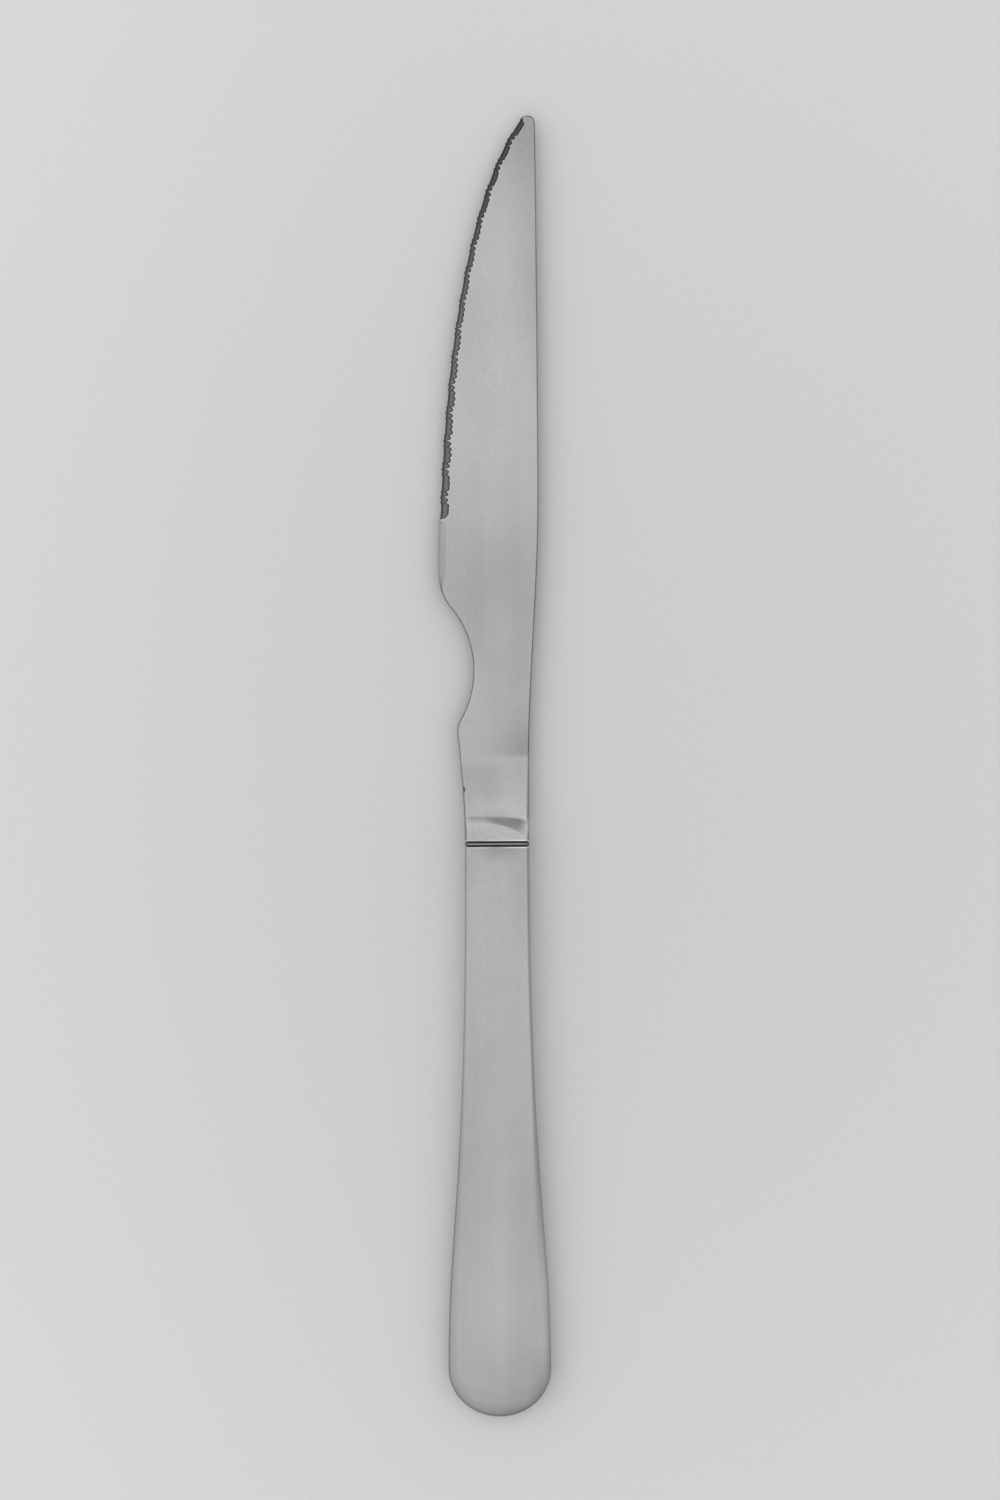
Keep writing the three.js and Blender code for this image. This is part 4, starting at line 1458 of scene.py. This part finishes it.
def satin_steel(name, finish, colour, shades, shine):
    """Brushed satin steel with painted patches of shade and highlight, polished edges with a painted
    highlight, and painted shade on edge walls and in the dent.
    """
    material, graph, shader = new_material(name, metallic=1.0)
    brushing = graph.group(
        shared_group(brushing_group, "Lengthwise brushing"),
        line_width=finish.line_width, line_length=finish.line_length, band_width=finish.band_width,
        band_length=finish.band_length, cloud=finish.cloud, grain=finish.grain, mottle=finish.mottle,
        satin=finish.satin,
    )
    wear = graph.field("ShaderNodeAttribute", output="Fac", attribute_name="wear")
    polish = graph.group(shared_group(polish_highlight_group, "Polished edges and painted highlight"), wear=wear, shine=shine)
    tone = brushing["Tone"] * polish["Tone"]
    # Painted shade and painted highlight patches, standing in for reflections and shadow on the satin
    for shade in shades:
        tone = tone * graph.group(
            shared_group(painted_shade_group, "Painted soft shade"), depth=shade.depth, start=shade.start * MM,
            middle=(shade.x * MM, shade.y * MM, 0.0), size=(shade.width * MM, shade.length * MM, 1.0),
        )["Tone"]
    # Painted shade on the walls of the edges and in the dent
    wall = graph.field("ShaderNodeAttribute", output="Fac", attribute_name="wall")
    dent = graph.field("ShaderNodeAttribute", output="Fac", attribute_name="dent")
    tone = tone * (1.0 - wall * WALL_PAINTED_SHADE) * (1.0 - dent * DENT_PAINTED_SHADE)
    bump = graph.node("ShaderNodeBump", {"Height": brushing["Height"], **BRUSH_RELIEF})
    graph.feed(shader.inputs["Base Color"], graph.scaled(tuple(colour), tone))
    graph.feed(shader.inputs["Roughness"], brushing["Roughness"] - polish["Smoother"])
    graph.feed(shader.inputs["Normal"], bump.outputs["Normal"])
    return material


def blade_steel(finish):
    """Satin steel of blade and bolster."""
    return satin_steel("Satin blade steel", finish, finish.blade, BLADE_PAINTED_SHADES.values(), finish.blade_shine)


def handle_steel(finish):
    """Satin steel of the handle shells."""
    shades = HANDLE_PAINTED_SHADES.values()
    return satin_steel("Satin handle steel", finish, finish.handle, shades, finish.handle_shine)


def ring_steel(finish):
    """Ground steel of the joint ring."""
    return satin_steel("Ground ring steel", finish, finish.ring, shades=(), shine=0.0)


def gullet_steel(finish):
    """Coarsely ground steel: grinding lines across the edge, with painted shade along its outlines."""
    material, graph, shader = new_material("Ground gullet steel", metallic=1.0)
    across = graph.field("ShaderNodeAttribute", output="Fac", attribute_name="across")
    along = graph.field("ShaderNodeAttribute", output="Fac", attribute_name="along")
    place = graph.combine(along / finish.grind_line, across * GRIND_ACROSS, 0.0)
    lines = graph.field("ShaderNodeTexNoise", {"Vector": place, "Scale": 1.0, "Detail": FINE})
    # Painted shade along the inner and outer outlines of the strip
    inner = graph.soft_step(across, *INNER_BORDER)
    outer = 1.0 - graph.soft_step(across, *OUTER_BORDER)
    to_tip = graph.soft_step(along, *DARKER_RUN)
    tone = graph.blend(INNER_TONE, 1.0, inner) * graph.blend(OUTER_TONE, 1.0, outer)
    tone = tone * graph.blend(*GRIND_TONES, lines) * (1.0 - to_tip * DARKER_TIP)
    bump = graph.node("ShaderNodeBump", {"Height": lines, **GRIND_RELIEF})
    graph.feed(shader.inputs["Base Color"], graph.scaled(tuple(finish.gullet), tone))
    graph.feed(shader.inputs["Roughness"], graph.blend(*GRIND_ROUGHNESS, lines))
    graph.feed(shader.inputs["Normal"], bump.outputs["Normal"])
    return material


def speckled(name, colour, size, depth, roughness, metallic):
    """Plain finish with irregular tone and a fine uneven surface."""
    material, graph, shader = new_material(name, metallic=metallic)
    place = graph.field("ShaderNodeTexCoord", output="Object")
    noise = graph.field("ShaderNodeTexNoise", {"Vector": place, "Scale": 1 / size, "Detail": SPECKLE_DETAIL})
    relief = {"Strength": SPECKLE_STRENGTH, "Distance": size * SPECKLE_DEPTH}
    bump = graph.node("ShaderNodeBump", {"Height": noise, **relief})
    graph.feed(shader.inputs["Base Color"], graph.scaled(tuple(colour), 1.0 + (noise - 0.5) * depth))
    graph.feed(shader.inputs["Roughness"], roughness + (noise - 0.5) * SPECKLE_ROUGHNESS)
    graph.feed(shader.inputs["Normal"], bump.outputs["Normal"])
    return material


def solder_finish(finish):
    """Tarnished solder in the joint."""
    name = "Tarnished solder"
    return bpy.data.materials.get(name) or speckled(
        name, finish.solder, size=0.3 * MM, depth=0.8, roughness=0.6, metallic=0.5,
    )


def braze_finish(finish):
    """Silver braze in the seam, ground nearly flush."""
    return speckled("Silver braze", finish.braze, size=0.8 * MM, depth=0.3, roughness=0.38, metallic=1.0)


def cement_finish(finish):
    """Grey cement in the handle."""
    return speckled("Grey cement", finish.cement, size=1.2 * MM, depth=0.7, roughness=0.9, metallic=0.0)


def floor_finish(studio):
    """Pale matt floor with painted light, a little lighter away from the middle and on the belly's side, with
    a trace of paper grain.
    """
    material, graph, shader = new_material("Pale matt floor", roughness=FLOOR_ROUGHNESS)
    place = graph.field("ShaderNodeTexCoord", output="Object")
    away = graph.vector("LENGTH", place, output="Value")
    across, _, _ = graph.separate(place)
    grain = graph.field("ShaderNodeTexNoise", {"Vector": place, "Scale": FLOOR_GRAINS, "Detail": FINE})
    to_belly = graph.soft_step(0.0 - across, *BELLY_RUN)
    # Painted light: lighter away from the knife and towards the belly's side
    lighter = graph.soft_step(away, *FAR_RUN) * FAR_PAINTED_LIGHT + to_belly * BELLY_PAINTED_LIGHT
    tone = FLOOR_TONE + lighter + (grain - 0.5) * FLOOR_MOTTLE
    graph.feed(shader.inputs["Base Color"], graph.scaled(tuple(studio.floor), tone))
    return material


# Studio

# Heights, as sines, over which the light grows overhead and out of the horizon
OVERHEAD_RUN = (0.72, 0.99)
HORIZON_RUN = (0.0, 0.35)

# How far round to the near end the light gets darker, as sines
NEAR_RUN = (0.15, 0.55)

# Angles from the middle of the dark end to where it begins and to where it is darkest
DARK_RIM = math.radians(26)
DARK_CORE = math.radians(8)

# The floor lies this far below the knife, so that the two don't touch
FLOOR_LEVEL = -0.05 * MM


def studio_world(studio):
    """Soft light from all round: strongest overhead, weaker at the horizon, with a darker far end."""
    world = bpy.data.worlds.new("Soft studio")
    world.use_nodes = True
    world.node_tree.nodes.clear()
    graph = Graph(world.node_tree)
    direction = graph.field("ShaderNodeTexCoord", output="Generated")
    x, y, z = graph.separate(direction)
    level = graph.blend(studio.sides * studio.overhead, studio.overhead, graph.soft_step(z, *OVERHEAD_RUN))
    level = level * graph.blend(studio.horizon, 1.0, graph.soft_step(z, *HORIZON_RUN))
    lean = (1.0 - x * studio.side_lean) * (1.0 - graph.soft_step(0.0 - y, *NEAR_RUN) * studio.near_end)
    far = (0.0, math.sin(studio.dark_height), math.cos(studio.dark_height))
    nearness = graph.vector("DOT_PRODUCT", direction, far, output="Value")
    dark = 1.0 - studio.dark_end * graph.soft_step(nearness, math.cos(DARK_RIM), math.cos(DARK_CORE))
    light = level * lean * dark
    background = graph.node("ShaderNodeBackground", {"Color": graph.combine(light, light, light)})
    graph.node("ShaderNodeOutputWorld", {"Surface": background.outputs["Background"]})
    return world


def add_camera(studio):
    """Camera straight above the knife, turned so that the knife leans as it should."""
    camera = bpy.data.objects.new("studio_camera", bpy.data.cameras.new("studio_camera"))
    low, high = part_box("joint_ring")
    axis_height = (low.z + high.z) / 2
    camera.location = (studio.look_x, studio.look_y, axis_height + studio.distance)
    camera.rotation_euler = (0.0, 0.0, -studio.turn)
    camera.data.lens = camera.data.sensor_width * studio.distance / studio.frame_height
    bpy.context.scene.collection.objects.link(camera)
    bpy.context.scene.camera = camera


def add_floor(studio):
    """Floor just under the knife."""
    half = studio.floor_size / 2
    corners = [(x * half, y * half, FLOOR_LEVEL) for x, y in ((-1, -1), (1, -1), (1, 1), (-1, 1))]
    mesh = bpy.data.meshes.new("studio_floor")
    mesh.from_pydata(corners, [], [(0, 1, 2, 3)])
    mesh.materials.append(floor_finish(studio))
    floor = bpy.data.objects.new("studio_floor", mesh)
    bpy.context.scene.collection.objects.link(floor)


# Operators, panel and registration

class STEAKKNIFE_OT_blade(Operator):
    """Forged blade with its serrations, bolster, spigot and tang"""

    bl_idname = "steak_knife.blade"
    bl_label = "Blade"

    def execute(self, context):
        knife = context.scene.steak_knife
        ground = gullet_steel(knife.finish)
        skin = blade_skin(knife, serrated_strip(knife, ground))
        finishes = (ground, blade_steel(knife.finish), solder_finish(knife.finish))
        finish_piece(skin.mesh("satin_blade", placement(knife), finishes), "forged_blade")
        return {"FINISHED"}


class STEAKKNIFE_OT_ring(Operator):
    """Thin ring between bolster and handle"""

    bl_idname = "steak_knife.ring"
    bl_label = "Joint Ring"

    def execute(self, context):
        knife = context.scene.steak_knife
        finishes = (ring_steel(knife.finish), solder_finish(knife.finish))
        mesh = ring_skin(knife).mesh("ground_ring", placement(knife), finishes)
        finish_piece(mesh, "joint_ring")
        return {"FINISHED"}


class STEAKKNIFE_OT_shells(Operator):
    """Two pressed half shells of the hollow handle"""

    bl_idname = "steak_knife.shells"
    bl_label = "Handle Shells"

    def execute(self, context):
        knife = context.scene.steak_knife
        finishes = (handle_steel(knife.finish), solder_finish(knife.finish))
        for side, facing in (("front", 1), ("back", -1)):
            mesh = shell_skin(knife, facing).mesh(f"satin_{side}_shell", placement(knife), finishes)
            finish_piece(mesh, f"{side}_handle_shell")
        return {"FINISHED"}


class STEAKKNIFE_OT_seam(Operator):
    """Strip of braze that joins the two shells"""

    bl_idname = "steak_knife.seam"
    bl_label = "Seam Braze"

    def execute(self, context):
        knife = context.scene.steak_knife
        finishes = (braze_finish(knife.finish),)
        finish_piece(seam_skin(knife).mesh("braze_line", placement(knife), finishes), "seam_braze")
        return {"FINISHED"}


class STEAKKNIFE_OT_filler(Operator):
    """Cement inside the handle, on the frame's own solid"""

    bl_idname = "steak_knife.filler"
    bl_label = "Handle Filler"

    def execute(self, context):
        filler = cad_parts["handle_filler"]
        filler.data.materials.clear()
        filler.data.materials.append(cement_finish(context.scene.steak_knife.finish))
        return {"FINISHED"}


class STEAKKNIFE_OT_studio(Operator):
    """Pale floor, soft light and the camera above"""

    bl_idname = "steak_knife.studio"
    bl_label = "Studio"

    def execute(self, context):
        studio = context.scene.steak_knife.studio
        add_floor(studio)
        add_camera(studio)
        context.scene.world = studio_world(studio)
        context.scene.view_settings.view_transform = "Standard"
        return {"FINISHED"}


class STEAKKNIFE_PT_panel(Panel):
    """Sizes and building steps of the knife"""

    bl_idname = "STEAKKNIFE_PT_panel"
    bl_label = "Steak Knife"
    bl_space_type = "VIEW_3D"
    bl_region_type = "UI"
    bl_category = "Knife"

    def draw(self, context):
        knife = context.scene.steak_knife
        for operator in OPERATORS:
            self.layout.operator(operator.bl_idname)
        for group in SteakKnife.__annotations__:
            settings = getattr(knife, group)
            box = self.layout.box()
            box.label(text=group.capitalize())
            for name in type(settings).__annotations__:
                box.prop(settings, name)


GROUPS = (
    NeckSizes, HandleSizes, TangSizes, BladeSizes, SerrationSizes, KnifeFinish, StudioSetup, SteakKnife,
)
OPERATORS = (
    STEAKKNIFE_OT_blade, STEAKKNIFE_OT_ring, STEAKKNIFE_OT_shells, STEAKKNIFE_OT_seam, STEAKKNIFE_OT_filler,
    STEAKKNIFE_OT_studio,
)
CLASSES = (*GROUPS, *OPERATORS, STEAKKNIFE_PT_panel)


def register():
    """Adds the classes and the knife's settings to Blender."""
    for cls in CLASSES:
        bpy.utils.register_class(cls)
    bpy.types.Scene.steak_knife = PointerProperty(type=SteakKnife)


def unregister():
    """Takes them out again."""
    del bpy.types.Scene.steak_knife
    for cls in reversed(CLASSES):
        bpy.utils.unregister_class(cls)


def main():
    """Builds the knife and its studio."""
    register()
    bpy.ops.steak_knife.blade()
    bpy.ops.steak_knife.ring()
    bpy.ops.steak_knife.shells()
    bpy.ops.steak_knife.seam()
    bpy.ops.steak_knife.filler()
    bpy.ops.steak_knife.studio()
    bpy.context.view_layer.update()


if __name__ == "__main__":
    main()
